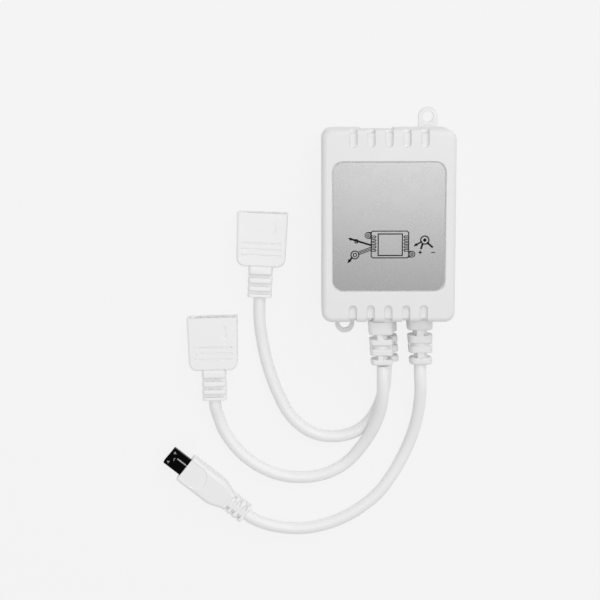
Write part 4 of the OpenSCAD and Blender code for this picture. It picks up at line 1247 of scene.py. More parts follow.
class CONTROLLER_OT_plug(bpy.types.Operator):
    """Make the receiver plug: moulded body, metal shell, its stamped seam and the sprung latch"""

    bl_idname = "controller.plug"
    bl_label = "Receiver plug"

    # Where the lead enters its relief, in millimetres, and which way the plug is turned, in degrees
    PLACE = (-48.7, -103, 51.3)
    # Runs of block, slot, rib, slot, rib, slot and end block, in millimetres; the first starts in the grip
    RUNS = (2.0, 0.9, 1.4, 0.9, 1.7, 0.9, 1.3)
    # Length of the grip in front of the strain relief, and how far the shell reaches into it
    GRIP, SOCKET = 18.6 * MM, 4.1 * MM
    # How far the two barbs lie beside the middle
    BARB_X = 2 * MM

    def execute(self, context):
        settings = context.scene.controller
        s = settings.plug
        x, y, turn = self.PLACE
        front, mid = s.relief + self.GRIP, s.thickness / 2
        # Bare steel, much lighter than the shell's black plating: on the seam's bead and the latch's barbs it
        # is a painted highlight, while their shapes are real
        bright = metal("steel_stamped_painted_highlight", "#8F8F8E", 0.25)
        for name, mesh, materials, rides_on, slot, nodes in (
                ("plug_body_moulded", self.moulding(s, settings.lead, front, mid), [pvc_moulded("pvc")],
                 "housing", "pvc_white", ("plug_body",)),
                ("plug_shell_stamped", self.shell(s, front, mid), [steel_black_plated()],
                 "housing", "black_metal", ("plug_shell",)),
                ("plug_shell_seam", self.seam(s, front, mid), [bright], "housing", "bright_metal", ()),
                ("plug_latch_formed", self.latch(s, front, mid), [steel_black_plated(), bright],
                 "latch", "bright_metal", ("plug_latch",))):
            make_piece(name, moved(mesh, x * MM, y * MM, turn=turn), materials, rides_on, slot, *nodes)
        return {"FINISHED"}

    @classmethod
    def moulding(cls, s, lead, front, mid):
        """The whole moulded body: grip and strain relief, the hole for the shell and the hollow above it."""
        length = sum(cls.RUNS) * MM
        ribs = gather(ribbed_relief(
            (7 * MM, 5.5 * MM), length, [run * MM / length for run in cls.RUNS], (True, True, True),
            lead.core, 2.6 * MM, 0, lead.corner, closed=1.6 * MM))
        moved(ribs, 0, length, mid, turn=180)
        body = combine(ribs, cls.grip(s, front), "UNION", tangled=True)
        gap = 0.04 * MM
        wide, high = s.shell_width / 2 + gap, s.shell_height / 2 + gap
        body = combine(body, block((-wide, front - cls.SOCKET, mid - high), (wide, front + OVER, mid + high)))
        # A shallow hollow on top with a round end
        half, long, deep = 4.1 * MM, 8.6 * MM, 0.3 * MM
        hollow = block((-half, front - long, s.thickness - deep), (half, front + OVER, s.thickness + OVER))
        behind = [e for e in hollow.edges if runs_along(e, 2) and e.verts[0].co.y < front]
        round_off(hollow, behind, half - 0.005 * MM, 16)
        body = combine(body, hollow)
        return soften(body, 0.16 * MM, segments=3, least=35)

    @staticmethod
    def grip(s, front):
        """The grip: it swells from the strain relief to its full width, with round long edges."""
        taper, long, neck_w, neck_h = 6.2 * MM, front - s.relief, 7.1 * MM, 5.6 * MM
        # A unit block is split along the taper, and then drawn out to its sizes
        bm = block((-0.5, 0, -0.5), (0.5, 1, 0.5))
        for k in range(1, 11):
            split_at(bm, (0, k / 10 * taper / long, 0), (0, 1, 0))
        for vert in bm.verts:
            ease = math.sin(min(vert.co.y * long / taper, 1) * math.pi / 2)
            wide = neck_w + (s.width - neck_w) * ease
            high = neck_h + (s.thickness - neck_h) * ease
            vert.co = (vert.co.x * wide, s.relief + vert.co.y * long, vert.co.z * high + s.thickness / 2)
        lengthwise = [
            e for e in bm.edges if abs(e.verts[0].co.y - e.verts[1].co.y) > 5 * NEAR and is_sharp(e, 60)]
        round_off(bm, lengthwise, 1.6 * MM, 6)
        round_sharp(bm, 0.35 * MM, 3, least=60)
        return bm

    @classmethod
    def shell(cls, s, front, mid):
        """The metal shell: folded from thin sheet, round at its edges, with two windows for the latch."""
        wide, high, tip, corner = s.shell_width / 2, s.shell_height / 2, front + s.shell_reach, 0.5 * MM
        bm = block((-wide, front - 4 * MM, mid - high), (wide, tip, mid + high))
        # The lower long edges are rounder than the upper ones
        lower = [e for e in bm.edges if runs_along(e, 1) and e.verts[0].co.z < mid]
        round_off(bm, lower, corner, 3)
        upper = [e for e in bm.edges if runs_along(e, 1) and e.verts[0].co.z > mid + high - NEAR]
        round_off(bm, upper, 0.28 * MM, 3)
        # The corners of its tip are round, seen from above
        seen = block((-wide, front - 6 * MM, 0), (wide, tip, 2 * mid), corner=corner, segments=5)
        bm = combine(bm, seen, "INTERSECT")
        # It is hollow from its tip to near its other end
        open_end = max((f for f in bm.faces if f.normal.y > 0.9), key=lambda face: face.calc_area())
        bmesh.ops.inset_region(bm, faces=[open_end], thickness=0.25 * MM, use_even_offset=True)
        back = bmesh.ops.extrude_discrete_faces(bm, faces=[open_end])["faces"][0]
        bmesh.ops.translate(bm, vec=(0, front - 3.7 * MM - tip, 0), verts=back.verts)
        half, near, far, above = 0.66 * MM, tip - 1.96 * MM, tip - 0.52 * MM, mid + 3 * MM
        windows = [block((x - half, near, mid), (x + half, far, above)) for x in (-cls.BARB_X, cls.BARB_X)]
        return soften(combine(bm, gather(windows)), 0.05 * MM, segments=2, least=35)

    @classmethod
    def latch(cls, s, front, mid):
        """The sprung latch: a root strip, two arms, and a hollow three-cornered barb at the end of each."""
        low, tip, sheet = mid + s.shell_height / 2 - 0.5 * MM, front + s.shell_reach, 0.2 * MM
        root_half, arm_half, barb_x = 2.45 * MM, 0.45 * MM, cls.BARB_X - 0.04 * MM
        foot, crest, tall = 0.68 * MM, 0.64 * MM, 0.62 * MM
        parts = [block((-root_half, front - 0.6 * MM, low), (root_half, front, low + sheet))]
        for side in (-1, 1):
            x = side * cls.BARB_X
            parts.append(block(
                (x - arm_half, front - 0.02 * MM, low), (x + arm_half, tip - 0.6 * MM, low + sheet)))
            barb = wedge(
                (side * barb_x, tip - 1.28 * MM, low + 0.45 * MM), foot, crest, tall,
                math.pi / 2 - side * math.pi / 6)
            top = max(barb.faces, key=lambda face: face.calc_center_median().z)
            push(barb, top, inset=0.17 * MM, rise=-0.15 * MM)
            # The barbs take the light steel, a painted highlight
            parts.append(painted(barb, 1))
        return gather(parts)

    @staticmethod
    def seam(s, front, mid):
        """The folded seam in the shell's top: a raised bead, and the rim of a dimple beyond its end; its
        light steel is a painted highlight.
        """
        top = mid + s.shell_height / 2
        # Points in front of the grip, in millimetres, with the radius of each and how deep its middle lies
        bead = [(0.76, 0.15), (0.76, 1.5), (0.76, 2.8), (0.76, 4.1)]
        rim = [(0.5, 4.75), (0.25, 4.95), (-0.05, 5.0), (-0.35, 4.85), (-0.55, 4.6)]
        return gather([
            tube([(x * MM, front + y * MM, top - deep * MM) for x, y in points], radius * MM)
            for points, radius, deep in ((bead, 0.3, 0.19), (rim, 0.17, 0.08))])


class CONTROLLER_OT_leads(bpy.types.Operator):
    """Make the three leads"""

    bl_idname = "controller.leads"
    bl_label = "Leads"

    # The leads' routes in metres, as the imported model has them
    ROUTES = {
        "lower": (0.0998, (
            (-0.000092, -0.048, 0.007), (-0.000092, -0.052, 0.007), (-0.0004, -0.0565, 0.0059),
            (-0.0013, -0.061, 0.0046), (-0.0029, -0.0655, 0.0033), (-0.0053, -0.0696, 0.0025),
            (-0.0084, -0.0726, 0.0022), (-0.0128, -0.0747, 0.0021), (-0.0185, -0.0755, 0.0021),
            (-0.0244, -0.0745, 0.0021), (-0.0296, -0.0714, 0.0021), (-0.0336, -0.067, 0.0021),
            (-0.0366, -0.0615, 0.0021), (-0.0392, -0.055, 0.0021), (-0.0412, -0.0484, 0.0021),
            (-0.0426, -0.0414, 0.0022), (-0.0434, -0.035, 0.003), (-0.043491, -0.027998, 0.0037),
            (-0.0434, -0.026, 0.0037))),
        "upper": (0.1055, (
            (-0.001361, -0.048, 0.0146), (-0.001361, -0.052, 0.0146), (-0.0013, -0.0565, 0.0136),
            (-0.0015, -0.061, 0.0119), (-0.0023, -0.0655, 0.0097), (-0.0037, -0.07, 0.0076),
            (-0.0059, -0.0748, 0.0053), (-0.009, -0.0798, 0.0034), (-0.0127, -0.0842, 0.0023),
            (-0.0175, -0.0875, 0.0021), (-0.0235, -0.0896, 0.0021), (-0.0297, -0.0902, 0.0021),
            (-0.036, -0.0895, 0.0021), (-0.042, -0.0873, 0.0021), (-0.0473, -0.084, 0.0021),
            (-0.0513, -0.0803, 0.0021), (-0.0543, -0.0764, 0.0021), (-0.0565, -0.0726, 0.0022),
            (-0.0579, -0.0685, 0.0026), (-0.059055, -0.064, 0.0037), (-0.0591, -0.062, 0.0037))),
        "receiver": (0.104, (
            (0.011523, -0.048, 0.0108), (0.011523, -0.052, 0.0108), (0.0118, -0.057, 0.0097),
            (0.0116, -0.062, 0.008), (0.011, -0.0675, 0.006), (0.0098, -0.073, 0.0043),
            (0.008, -0.0785, 0.003), (0.0054, -0.0843, 0.0023), (0.002, -0.0902, 0.0021),
            (-0.0024, -0.096, 0.0021), (-0.008, -0.1008, 0.0021), (-0.0146, -0.1048, 0.0021),
            (-0.022, -0.1075, 0.0021), (-0.0297, -0.1087, 0.0021), (-0.0366, -0.1082, 0.0022),
            (-0.0414, -0.107, 0.0027), (-0.047139, -0.10425, 0.0033), (-0.0487, -0.103, 0.0033))),
    }
    GOES_WITH = {
        "lower": (
            "lower_relief_moulded", "lower_socket_moulded", "lower_socket_insert", "lower_socket_contacts"),
        "upper": (
            "upper_relief_moulded", "upper_socket_moulded", "upper_socket_insert", "upper_socket_contacts"),
        "receiver": (
            "receiver_relief_moulded", "plug_body_moulded", "plug_shell_stamped", "plug_shell_seam",
            "plug_tongue", "plug_contacts"),
    }

    def execute(self, context):
        lead = context.scene.controller.lead
        for name, (length, route) in self.ROUTES.items():
            line = bpy.data.curves.new(f"{name}_lead", "CURVE")
            line.dimensions = "3D"
            line.bevel_depth = lead.diameter / 2
            line.bevel_resolution = 7
            line.resolution_u = 8
            line.use_fill_caps = True
            spline = line.splines.new("BEZIER")
            spline.bezier_points.add(len(route) - 1)
            for point, place in zip(spline.bezier_points, route):
                point.co = place
                point.handle_left_type = point.handle_right_type = "AUTO"
            line.materials.append(pvc_extruded())
            cord = new_object(f"{name}_lead", line)
            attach(cord, "housing")
            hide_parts(f"{name}_cord")
        return {"FINISHED"}


# Chips, with how many pins stand on each side of them
PINNED = (("control_chip", 8), ("memory_chip", 4))
# Rows of like chips without pins, with how many there are, and half the width of one
ROWS = (("chip_resistors", 6), ("chip_capacitors", 4))
CHIP_HALF = 0.675 * MM
TRANSISTORS = ("transistor_1", "transistor_2", "transistor_3")


def wire_pads(lead, board_low):
    """Where the conductors are soldered: lead, number, x and y."""
    near, far = board_low[1] + 3.1 * MM, board_low[1] + 8.7 * MM
    rows = (
        ("upper", lead.pair_x, 4, far), ("lower", lead.pair_x, 4, near), ("receiver", lead.single_x, 3, far))
    return [
        (name, i, middle + x, y)
        for name, middle, count, y in rows for i, x in enumerate(spread(count, PAD_PITCH))]


def chip_middles(node, count, unit=1.0):
    """Middles of a row of chips that fills its node's box from side to side, in metres or in another unit."""
    low, high = corners(node)
    run = high.x - low.x - 2 * CHIP_HALF
    return [(low.x + CHIP_HALF + k * run / (count - 1)) / unit for k in range(count)]


class CONTROLLER_OT_board(bpy.types.Operator):
    """Make the circuit board: laminate, solder mask, tracks, pads and its printed outlines"""

    bl_idname = "controller.board"
    bl_label = "Circuit board"

    # How far the pads and tracks reach into the mask
    SUNK = 0.01 * MM
    # Copper on the upper side: points and width, in millimetres
    TRACKS = (
        (((-3.55, 15.2), (-3.1, 12.2), (-3.1, -6.0), (-5.5, -8.4), (-5.5, -17.2)), 1.1),
        (((-1.5, -4.6), (-1.5, -7.1), (-2.97, -8.6), (-2.97, -17.2)), 0.9),
        (((5.9, -4.6), (5.9, -5.6), (4.9, -6.6), (1.3, -6.6), (-0.43, -8.3), (-0.43, -17.2)), 0.9),
        (((13.3, -4.6), (13.3, -6.9), (12.1, -8.1), (3.6, -8.1), (2.11, -9.6), (2.11, -17.2)), 0.9),
        (((3.08, -4.6), (3.08, -5.4)), 0.9),
        (((10.48, -4.6), (10.48, -6.4)), 0.9),
        (((17.88, -4.6), (17.88, -7.4), (16.4, -8.9), (16.4, -13.4), (14.0, -15.8)), 0.9),
        (((8.56, -11.6), (8.56, -9.9)), 0.5),
        (((11.1, -11.6), (11.1, -14.4), (8.9, -16.6), (5.4, -16.6)), 0.5),
        (((13.64, -11.6), (13.64, -9.9)), 0.5),
        (((-11.3, 22.7), (-9.2, 22.7), (-9.2, 13.2), (-7.6, 11.6), (-5.4, 11.6)), 1.0),
        (((-13.1, 16.4), (-13.1, 18.6), (-14.6, 20.1), (-16.9, 20.1)), 0.8),
        (((-14.6, 12.4), (-14.6, 10.6)), 0.5), (((-11.6, 12.4), (-11.6, 11.4), (-10.7, 10.5)), 0.5),
        (((0.8, 6.0), (0.8, 7.4)), 0.9), (((8.2, 6.0), (8.2, 6.6)), 0.9), (((15.6, 6.0), (15.6, 7.4)), 0.9),
        (((-2.0, 13.0), (-2.0, 11.4), (0.8, 11.4), (0.8, 10.0)), 0.4),
        (((1.2, 13.0), (1.2, 12.2), (3.7, 12.2), (3.7, 10.0)), 0.4),
        (((6.6, 10.0), (6.6, 11.6)), 0.4), (((9.5, 10.0), (9.5, 12.4)), 0.4),
        (((12.4, 10.0), (12.4, 11.2)), 0.4), (((4.4, 15.6), (4.4, 17.6)), 0.6),
        (((7.6, 15.6), (7.6, 16.4)), 0.6), (((15.3, 10.0), (15.3, 13.6), (17.6, 15.9), (17.6, 22.0)), 0.8),
    )
    VIAS = (
        (3.08, -5.5), (10.48, -6.5), (14.0, -15.8), (8.56, -9.8), (13.64, -9.8), (5.3, -16.6), (-14.6, 10.5),
        (-10.7, 10.4), (6.6, 11.7), (9.5, 12.5), (12.4, 11.3), (17.6, 22.1), (-16.9, 20.1), (4.4, 17.7),
        (-17.6, 4.4), (-17.6, 1.8), (-8.0, -3.4), (-6.4, -5.2), (-8.6, -12.4), (-11.2, -14.6), (17.6, 12.6),
    )

    def execute(self, context):
        low, high = corners("circuit_board")
        top = high.z
        body = self.laminate(low, high)
        edge = plastic("laminate_glass_epoxy_sawn", "#C9B77A", 0.6)
        make_piece("board_laminate", body, [board_mask(), edge], "housing", "board_green", "circuit_board")

        tracks = []
        thick = (top - self.SUNK, top + 0.035 * MM)
        for points, width in self.TRACKS:
            tracks += bars(points, width * MM, *thick)
        spots = list(self.VIAS)
        for node, count in PINNED:
            a, b = corners(node, MM)
            for k, pin in enumerate(spread(count, PIN_PITCH / MM)):
                x = (a.x + b.x) / 2 + pin
                for y, side in ((a.y, -1), (b.y, 1)):
                    far = y + side * (1.0 + 0.8 * (k % 2))
                    tracks += bars([(x, y), (x, far)], 0.3 * MM, *thick)
                    spots.append((x, far))
        copper = plastic("mask_over_copper", "#2C8350", 0.3)
        make_piece("board_tracks", gather(tracks), [copper], "housing", "board_green")

        pads = [
            ring((x / MM, y / MM), 0.85, 0.5 * MM, top - self.SUNK, top + 0.05 * MM, steps=24)
            for _, _, x, y in wire_pads(context.scene.controller.lead, low)]
        vias = [ring(spot, 0.32, 0.28 * MM, top, top + 0.045 * MM, steps=14) for spot in spots]
        make_piece("board_pads", gather(pads + vias + self.lands(top)), [solder_tin()], "housing", "solder")

        ink = plastic("silkscreen_ink_white", "#E8E8E2", 0.6)
        make_piece("board_print", gather(self.outlines(top)), [ink], "housing", "board_green")
        return {"FINISHED"}

    @staticmethod
    def laminate(low, high):
        """The board with its holes; its upper and lower faces carry the mask, and the others are bare."""
        body = block(low, high, corner=0.3 * MM, segments=3)
        places = [
            (x, y) for x in (low.x + POST_INSET, high.x - POST_INSET)
            for y in (low.y + POST_INSET, high.y - POST_INSET)]
        holes = [rod((x, y, high.z), 0.9 * MM, 6 * MM, segments=28) for x, y in places]
        body = combine(body, gather(holes))
        soften(body, 0.05 * MM, segments=1)
        for face in body.faces:
            face.material_index = 0 if abs(face.normal.z) > 0.9 else 1
        return body

    @staticmethod
    def outlines(top):
        """Printed outlines round the parts."""
        prints = []
        flat = (top + 0.005 * MM, top + 0.025 * MM)
        # How far each outline lies outside its part, in millimetres
        around = {"control_chip": 0.3, "memory_chip": 0.3, "voltage_regulator": 0.3, "input_diode": 0.4}
        around.update({node: 0.28 for node in TRANSISTORS})
        for node, grow in around.items():
            a, b = corners(node, MM)
            prints += outline((a.x - grow, a.y - grow), (b.x + grow, b.y + grow), 0.0, 0.14 * MM, *flat)
        for node, count in ROWS:
            a, b = corners(node, MM)
            for x in chip_middles(node, count, MM):
                prints += outline((x - 0.95, a.y - 0.3), (x + 0.95, b.y + 0.3), 0.0, 0.12 * MM, *flat)
        a, b = corners("smoothing_capacitor", MM)
        prints.append(ring(((a.x + b.x) / 2, (a.y + b.y) / 2), 4.35, 0.16 * MM, *flat, steps=48))
        return prints

    @classmethod
    def lands(cls, top):
        """Tinned lands that the flat leads of the parts stand on: their middles and sizes in millimetres."""
        spots = []
        for node, count in PINNED:
            a, b = corners(node, MM)
            for pin in spread(count, PIN_PITCH / MM):
                x = (a.x + b.x) / 2 + pin
                spots += [(x, a.y + 0.2, 0.6, 1.2), (x, b.y - 0.2, 0.6, 1.2)]
        for node, count in ROWS:
            a, b = corners(node, MM)
            for x in chip_middles(node, count, MM):
                spots += [(x, a.y - 0.05, 1.5, 0.9), (x, b.y + 0.05, 1.5, 0.9)]
        for node in TRANSISTORS:
            a, b = corners(node, MM)
            x = (a.x + b.x) / 2
            spots += [
                (x - 2.28, a.y + 0.6, 1.3, 2.0), (x + 2.28, a.y + 0.6, 1.3, 2.0), (x, b.y - 0.1, 5.8, 1.1)]
        a, b = corners("voltage_regulator", MM)
        x = (a.x + b.x) / 2
        spots += [(x + pin, a.y + 0.2, 0.7, 1.2) for pin in spread(3, 1.5)] + [(x, b.y, 2.0, 1.0)]
        a, b = corners("input_diode", MM)
        y = (a.y + b.y) / 2
        spots += [(a.x + 0.1, y, 1.2, 1.9), (b.x - 0.1, y, 1.2, 1.9)]
        low, high = top - cls.SUNK, top + 0.06 * MM
        return [
            block(((x - w / 2) * MM, (y - d / 2) * MM, low), ((x + w / 2) * MM, (y + d / 2) * MM, high))
            for x, y, w, d in spots]


def bent_lead(bends, base, width, thick, x, y, turn=180):
    """A tinned flat lead of a part, bent through points in millimetres above a base, at its place."""
    lead = strip([(a * MM, base + b * MM) for a, b in bends], width * MM, thick * MM)
    return painted(moved(lead, x, y, turn=turn), 1)


class CONTROLLER_OT_parts(bpy.types.Operator):
    """Make the parts that are soldered on the board"""

    bl_idname = "controller.parts"
    bl_label = "Parts on the board"

    def execute(self, context):
        tin, epoxy = solder_tin(), epoxy_moulded()
        cream = plastic("silkscreen_ink_white", "#E8E8E2", 0.6)
        glaze = plastic("thick_film_glazed_black", "#1C1C20", 0.25)
        ceramic = plastic("barium_titanate_fired_tan", "#A98A5E", 0.5)
        sleeve = plastic("sleeve_pet_shrunk_navy", "#1E2A48", 0.32)
        stripe = plastic("sleeve_stripe_printed_grey", "#A9AFBD", 0.4)
        can = metal("aluminium_drawn", "#C9CACC", 0.3)
        packages = [(f"{node}_package", self.chip(node, count), node) for node, count in PINNED]
        packages += [(f"{node}_package", self.transistor(node), node) for node in TRANSISTORS]
        packages.append(("regulator_package", self.regulator(), "voltage_regulator"))
        packages.append(("diode_package", self.diode(), "input_diode"))
        for name, mesh, node in packages:
            materials = [epoxy, tin, cream] if node == "input_diode" else [epoxy, tin]
            make_piece(name, mesh, materials, "housing", "black_plastic", node)
        for (node, count), finish, slot in zip(ROWS, (glaze, ceramic), ("black_plastic", "chip_ceramic")):
            make_piece(f"{node}_fired", self.chips(node, count), [finish, tin], "housing", slot, node)
        make_piece(
            "capacitor_can", self.capacitor(), [sleeve, can, stripe], "housing", "capacitor_sleeve",
            "smoothing_capacitor")
        return {"FINISHED"}

    @staticmethod
    def chip(node, count):
        """Gull-wing package: body with a dimple by its first lead, and bent leads along both long sides."""
        low, high = corners(node)
        middle, reach, inset = (low.x + high.x) / 2, 1 * MM, 0.8 * MM
        body = case((low.x, low.y + reach, low.z + 0.1 * MM), (high.x, high.y - reach, high.z), 0.12 * MM)
        dimple = rod((low.x + inset, low.y + reach + inset, high.z), 0.32 * MM, 0.16 * MM, segments=20)
        parts = [painted(combine(body, dimple), 0)]
        bends = ((-0.1, 0.84), (0.3, 0.84), (0.44, 0.76), (0.52, 0.26), (0.62, 0.12), (1.0, 0.1))
        for pin in spread(count, PIN_PITCH):
            for turn, y in ((0, high.y - reach), (180, low.y + reach)):
                parts.append(bent_lead(bends, low.z, 0.4, 0.17, middle + pin, y, turn))
        return gather(parts)

    @staticmethod
    def transistor(node):
        """Power package: body, heat tab behind it, two bent leads in front and the stub of a third."""
        low, high = corners(node)
        middle, front, back = (low.x + high.x) / 2, low.y + 2.7 * MM, high.y - 1.1 * MM
        body = case((low.x, front, low.z + 0.05 * MM), (high.x, back, high.z), 0.22 * MM, 0.12 * MM)
        inset, lap = 0.65 * MM, 0.5 * MM
        tab = block(
            (low.x + inset, back - lap, low.z + 0.03 * MM), (high.x - inset, high.y, low.z + 0.5 * MM))
        round_off(tab, [e for e in tab.edges if runs_along(e, 2) and e.verts[0].co.y > back], 0.5 * MM, 1)
        round_sharp(tab, 0.05 * MM, 1)
        bends = ((-0.2, 1.2), (0.5, 1.2), (0.85, 1.05), (1.3, 0.42), (1.6, 0.3), (2.7, 0.26))
        stub = ((-0.2, 1.2), (0.7, 1.2))
        leads = [
            bent_lead(points, low.z, 0.8, 0.42, middle + x * MM, front)
            for x, points in ((-2.28, bends), (2.28, bends), (0, stub))]
        return gather([painted(body, 0), painted(tab, 1)] + leads)

    @staticmethod
    def regulator():
        """Small regulator: body, heat tab on one side and three leads on the other."""
        low, high = corners("voltage_regulator")
        middle, front, back = (low.x + high.x) / 2, low.y + 1 * MM, high.y - 0.5 * MM
        body = case((low.x, front, low.z + 0.05 * MM), (high.x, back, high.z), 0.14 * MM)
        half, lap = 0.8 * MM, 0.3 * MM
        tab = block((middle - half, back - lap, low.z + 0.02 * MM), (middle + half, high.y, low.z + 0.4 * MM))
        round_sharp(tab, 0.05 * MM, 1)
        bends = ((-0.1, 0.3), (0.2, 0.3), (0.45, 0.2), (1.0, 0.2))
        leads = [bent_lead(bends, low.z, 0.4, 0.3, middle + pin, front) for pin in spread(3, 1.5 * MM)]
        return gather([painted(body, 0), painted(tab, 1)] + leads)

    @staticmethod
    def diode():
        """Moulded diode: body, a flat lead bent down at each end, and a printed band at its cathode."""
        low, high = corners("input_diode")
        middle, reach = (low.y + high.y) / 2, 0.5 * MM
        body = case((low.x + reach, low.y, low.z + 0.1 * MM), (high.x - reach, high.y, high.z), 0.2 * MM)
        bends = ((-0.1, 1.1), (0.3, 1.1), (0.42, 1.0), (0.42, 0.3), (0.3, 0.14), (-0.3, 0.1))
        leads = [
            bent_lead(bends, low.z, 1.5, 0.14, x, middle, turn)
            for turn, x in ((-90, high.x - reach), (90, low.x + reach))]
        inset, sunk, proud = 0.35 * MM, 0.02 * MM, 0.01 * MM
        band = block(
            (high.x - 1.6 * MM, low.y + inset, high.z - sunk),
            (high.x - 1.1 * MM, high.y - inset, high.z + proud))
        return gather([painted(body, 0)] + leads + [painted(band, 2)])

    @staticmethod
    def chips(node, count):
        """A row of like chips: fired body between two tinned end caps."""
        low, high = corners(node)
        half, cap_half, cap_long = 0.62 * MM, 0.67 * MM, 0.4 * MM
        parts = []
        for x in chip_middles(node, count):
            body = block(
                (x - half, low.y + cap_long / 2, low.z + 0.04 * MM),
                (x + half, high.y - cap_long / 2, high.z - 0.05 * MM), rim=0.04 * MM, rim_segments=1)
            parts.append(painted(body, 0))
            for y in (low.y, high.y - cap_long):
                cap = block(
                    (x - cap_half, y, low.z + 0.02 * MM), (x + cap_half, y + cap_long, high.z), rim=0.07 * MM,
                    rim_segments=2)
                parts.append(painted(cap, 1))
        return gather(parts)

    @staticmethod
    def capacitor():
        """Round can: shrunk sleeve, beaded near its foot and curled over its scored top, with a stripe."""
        low, high = corners("smoothing_capacitor")
        mid, r, tall = (low + high) / 2, (high.x - low.x) / 2 / MM, (high.z - low.z) / MM
        # Radius and height in millimetres, from the foot to the top
        sleeve = (
            (0, 0), (r - 0.5, 0), (r - 0.1, 0.15), (r, 0.45), (r, 1.15), (r - 0.12, 1.35), (r - 0.3, 1.6),
            (r - 0.12, 1.85), (r, 2.05), (r, tall - 0.75), (r - 0.1, tall - 0.35), (r - 0.4, tall - 0.08),
            (r - 0.75, tall), (r - 0.85, tall - 0.08), (r - 0.85, tall - 0.6), (0, tall - 0.6))
        can = (
            (0, tall - 1.2), (r - 0.9, tall - 1.2), (r - 0.9, tall - 0.3), (r - 1.05, tall - 0.16),
            (r - 1.3, tall - 0.12), (0, tall - 0.12))
        skin, top = (
            turned([(a * MM, b * MM) for a, b in form], (0, 0, 0), steps=56) for form in (sleeve, can))
        # The stripe's middle and half width, in degrees round the can, and its two ends
        facing, half_stripe, stripe_low, stripe_high = -110, 17, 2.1 * MM, (tall - 0.8) * MM
        for face in skin.faces:
            middle = face.calc_center_median()
            away = math.degrees(math.atan2(middle.y, middle.x))
            on_stripe = abs(away - facing) < half_stripe and stripe_low < middle.z < stripe_high
            face.material_index = 2 if on_stripe else 0
        long, wide, floor = 2.3 * MM, 0.09 * MM, (tall - 0.24) * MM
        scores = [
            moved(block((-long, -wide, floor), (long, wide, (tall + 1) * MM)), turn=turn)
            for turn in (20, 110)]
        top = painted(combine(top, gather(scores), tangled=True), 1)
        # Three marks on the stripe, one above the other
        marks = []
        for k in range(3):
            z = (3.2 + 2.4 * k) * MM
            mark = block(((r - 0.05) * MM, -0.25 * MM, z), (r * MM, 0.25 * MM, z + 1.1 * MM))
            marks.append(painted(moved(mark, turn=facing), 0))
        return moved(gather([skin, top] + marks), mid.x, mid.y, low.z)


class CONTROLLER_OT_inlet(bpy.types.Operator):
    """Make the power inlet: moulded housing, centre pin and spring contact"""

    bl_idname = "controller.inlet"
    bl_label = "Power inlet"

    def execute(self, context):
        low, high = corners("jack_housing")
        pin_low, pin_high = corners("jack_pin")
        x, front, axis = (low.x + high.x) / 2, high.y, high.z - 4.5 * MM
        # The floor of the bore, from which the pin stands
        deep = front - 9.6 * MM
        body = self.moulding(low, high, x, front, axis, deep)
        make_piece(
            "inlet_housing_moulded", body, [moulded_black()], "housing", "black_plastic", "jack_housing")

        # Centre pin, turned with a round tip, its shank and its flat tail
        nickel = metal("brass_turned_nickel_plated", "#CBC8BE", 0.2)
        tip, end, radius, shank = pin_high.y - deep, pin_low.y - deep, 1 * MM, 0.7 * MM
        profile = [
            (0, end), (shank, end), (shank, 0), (radius, 0), (radius, tip - 0.6 * MM),
            (0.9 * MM, tip - 0.25 * MM), (0.6 * MM, tip - 0.06 * MM), (0, tip)]
        pin = turned(profile, (x, deep, axis), axis=1, steps=40)
        tail = block(
            (x - radius, pin_low.y, pin_low.z), (x + radius, pin_low.y + 0.5 * MM, axis + radius),
            rim=0.08 * MM)
        make_piece("inlet_pin_turned", gather([pin, tail]), [nickel], "housing", "bright_metal", "jack_pin")

        spring = self.spring(front)
        make_piece("inlet_spring_formed", spring, [nickel], "housing", "bright_metal", "jack_spring")
        return {"FINISHED"}

    @staticmethod
    def moulding(low, high, x, front, axis, deep):
        """The moulded housing: square shoulder in the wall, trough behind it, barrel on top and bore."""
        back, shoulder_deep, behind = low.y, 3.4 * MM, 1 * MM
        shoulder = block((low.x, front - shoulder_deep, low.z), high, rim=0.25 * MM, rim_segments=3)
        trough = block((low.x, back, low.z), (high.x, front - behind, axis), rim=0.25 * MM, rim_segments=3)
        barrel = rod(
            (x, (back + front - behind) / 2, axis), (high.x - low.x) / 2 - 0.02 * MM, front - back - behind,
            axis=1, segments=64)
        body = combine(gather([trough, barrel]), shoulder, "UNION", tangled=True)
        # The bore widens at its mouth
        bore = turned(
            [(0, deep - front), (3.2 * MM, deep - front), (3.2 * MM, -0.6 * MM), (3.35 * MM, -0.25 * MM),
             (3.6 * MM, 0), (3.6 * MM, 1.4 * MM), (0, 2 * MM)], (x, front, axis), axis=1, steps=64)
        body = combine(body, bore)
        return soften(body, 0.12 * MM, segments=2, least=50)

    @staticmethod
    def spring(front):
        """The spring contact: a foot through the board, and a leaf that bows up below the pin."""
        low, high = corners("jack_spring")
        foot, level = low.y + 0.15 * MM, high.z - 0.15 * MM
        points = [
            (foot, low.z), (foot, level - 0.4 * MM), (foot + 0.12 * MM, level - 0.12 * MM),
            (foot + 0.4 * MM, level), (front - 9 * MM, level), (front - 6.5 * MM, level + 0.45 * MM),
            (front - 4.6 * MM, level + 0.65 * MM), (front - 3.4 * MM, level + 0.45 * MM), (high.y, level)]
        return moved(strip(points, high.x - low.x, 0.28 * MM), (low.x + high.x) / 2)


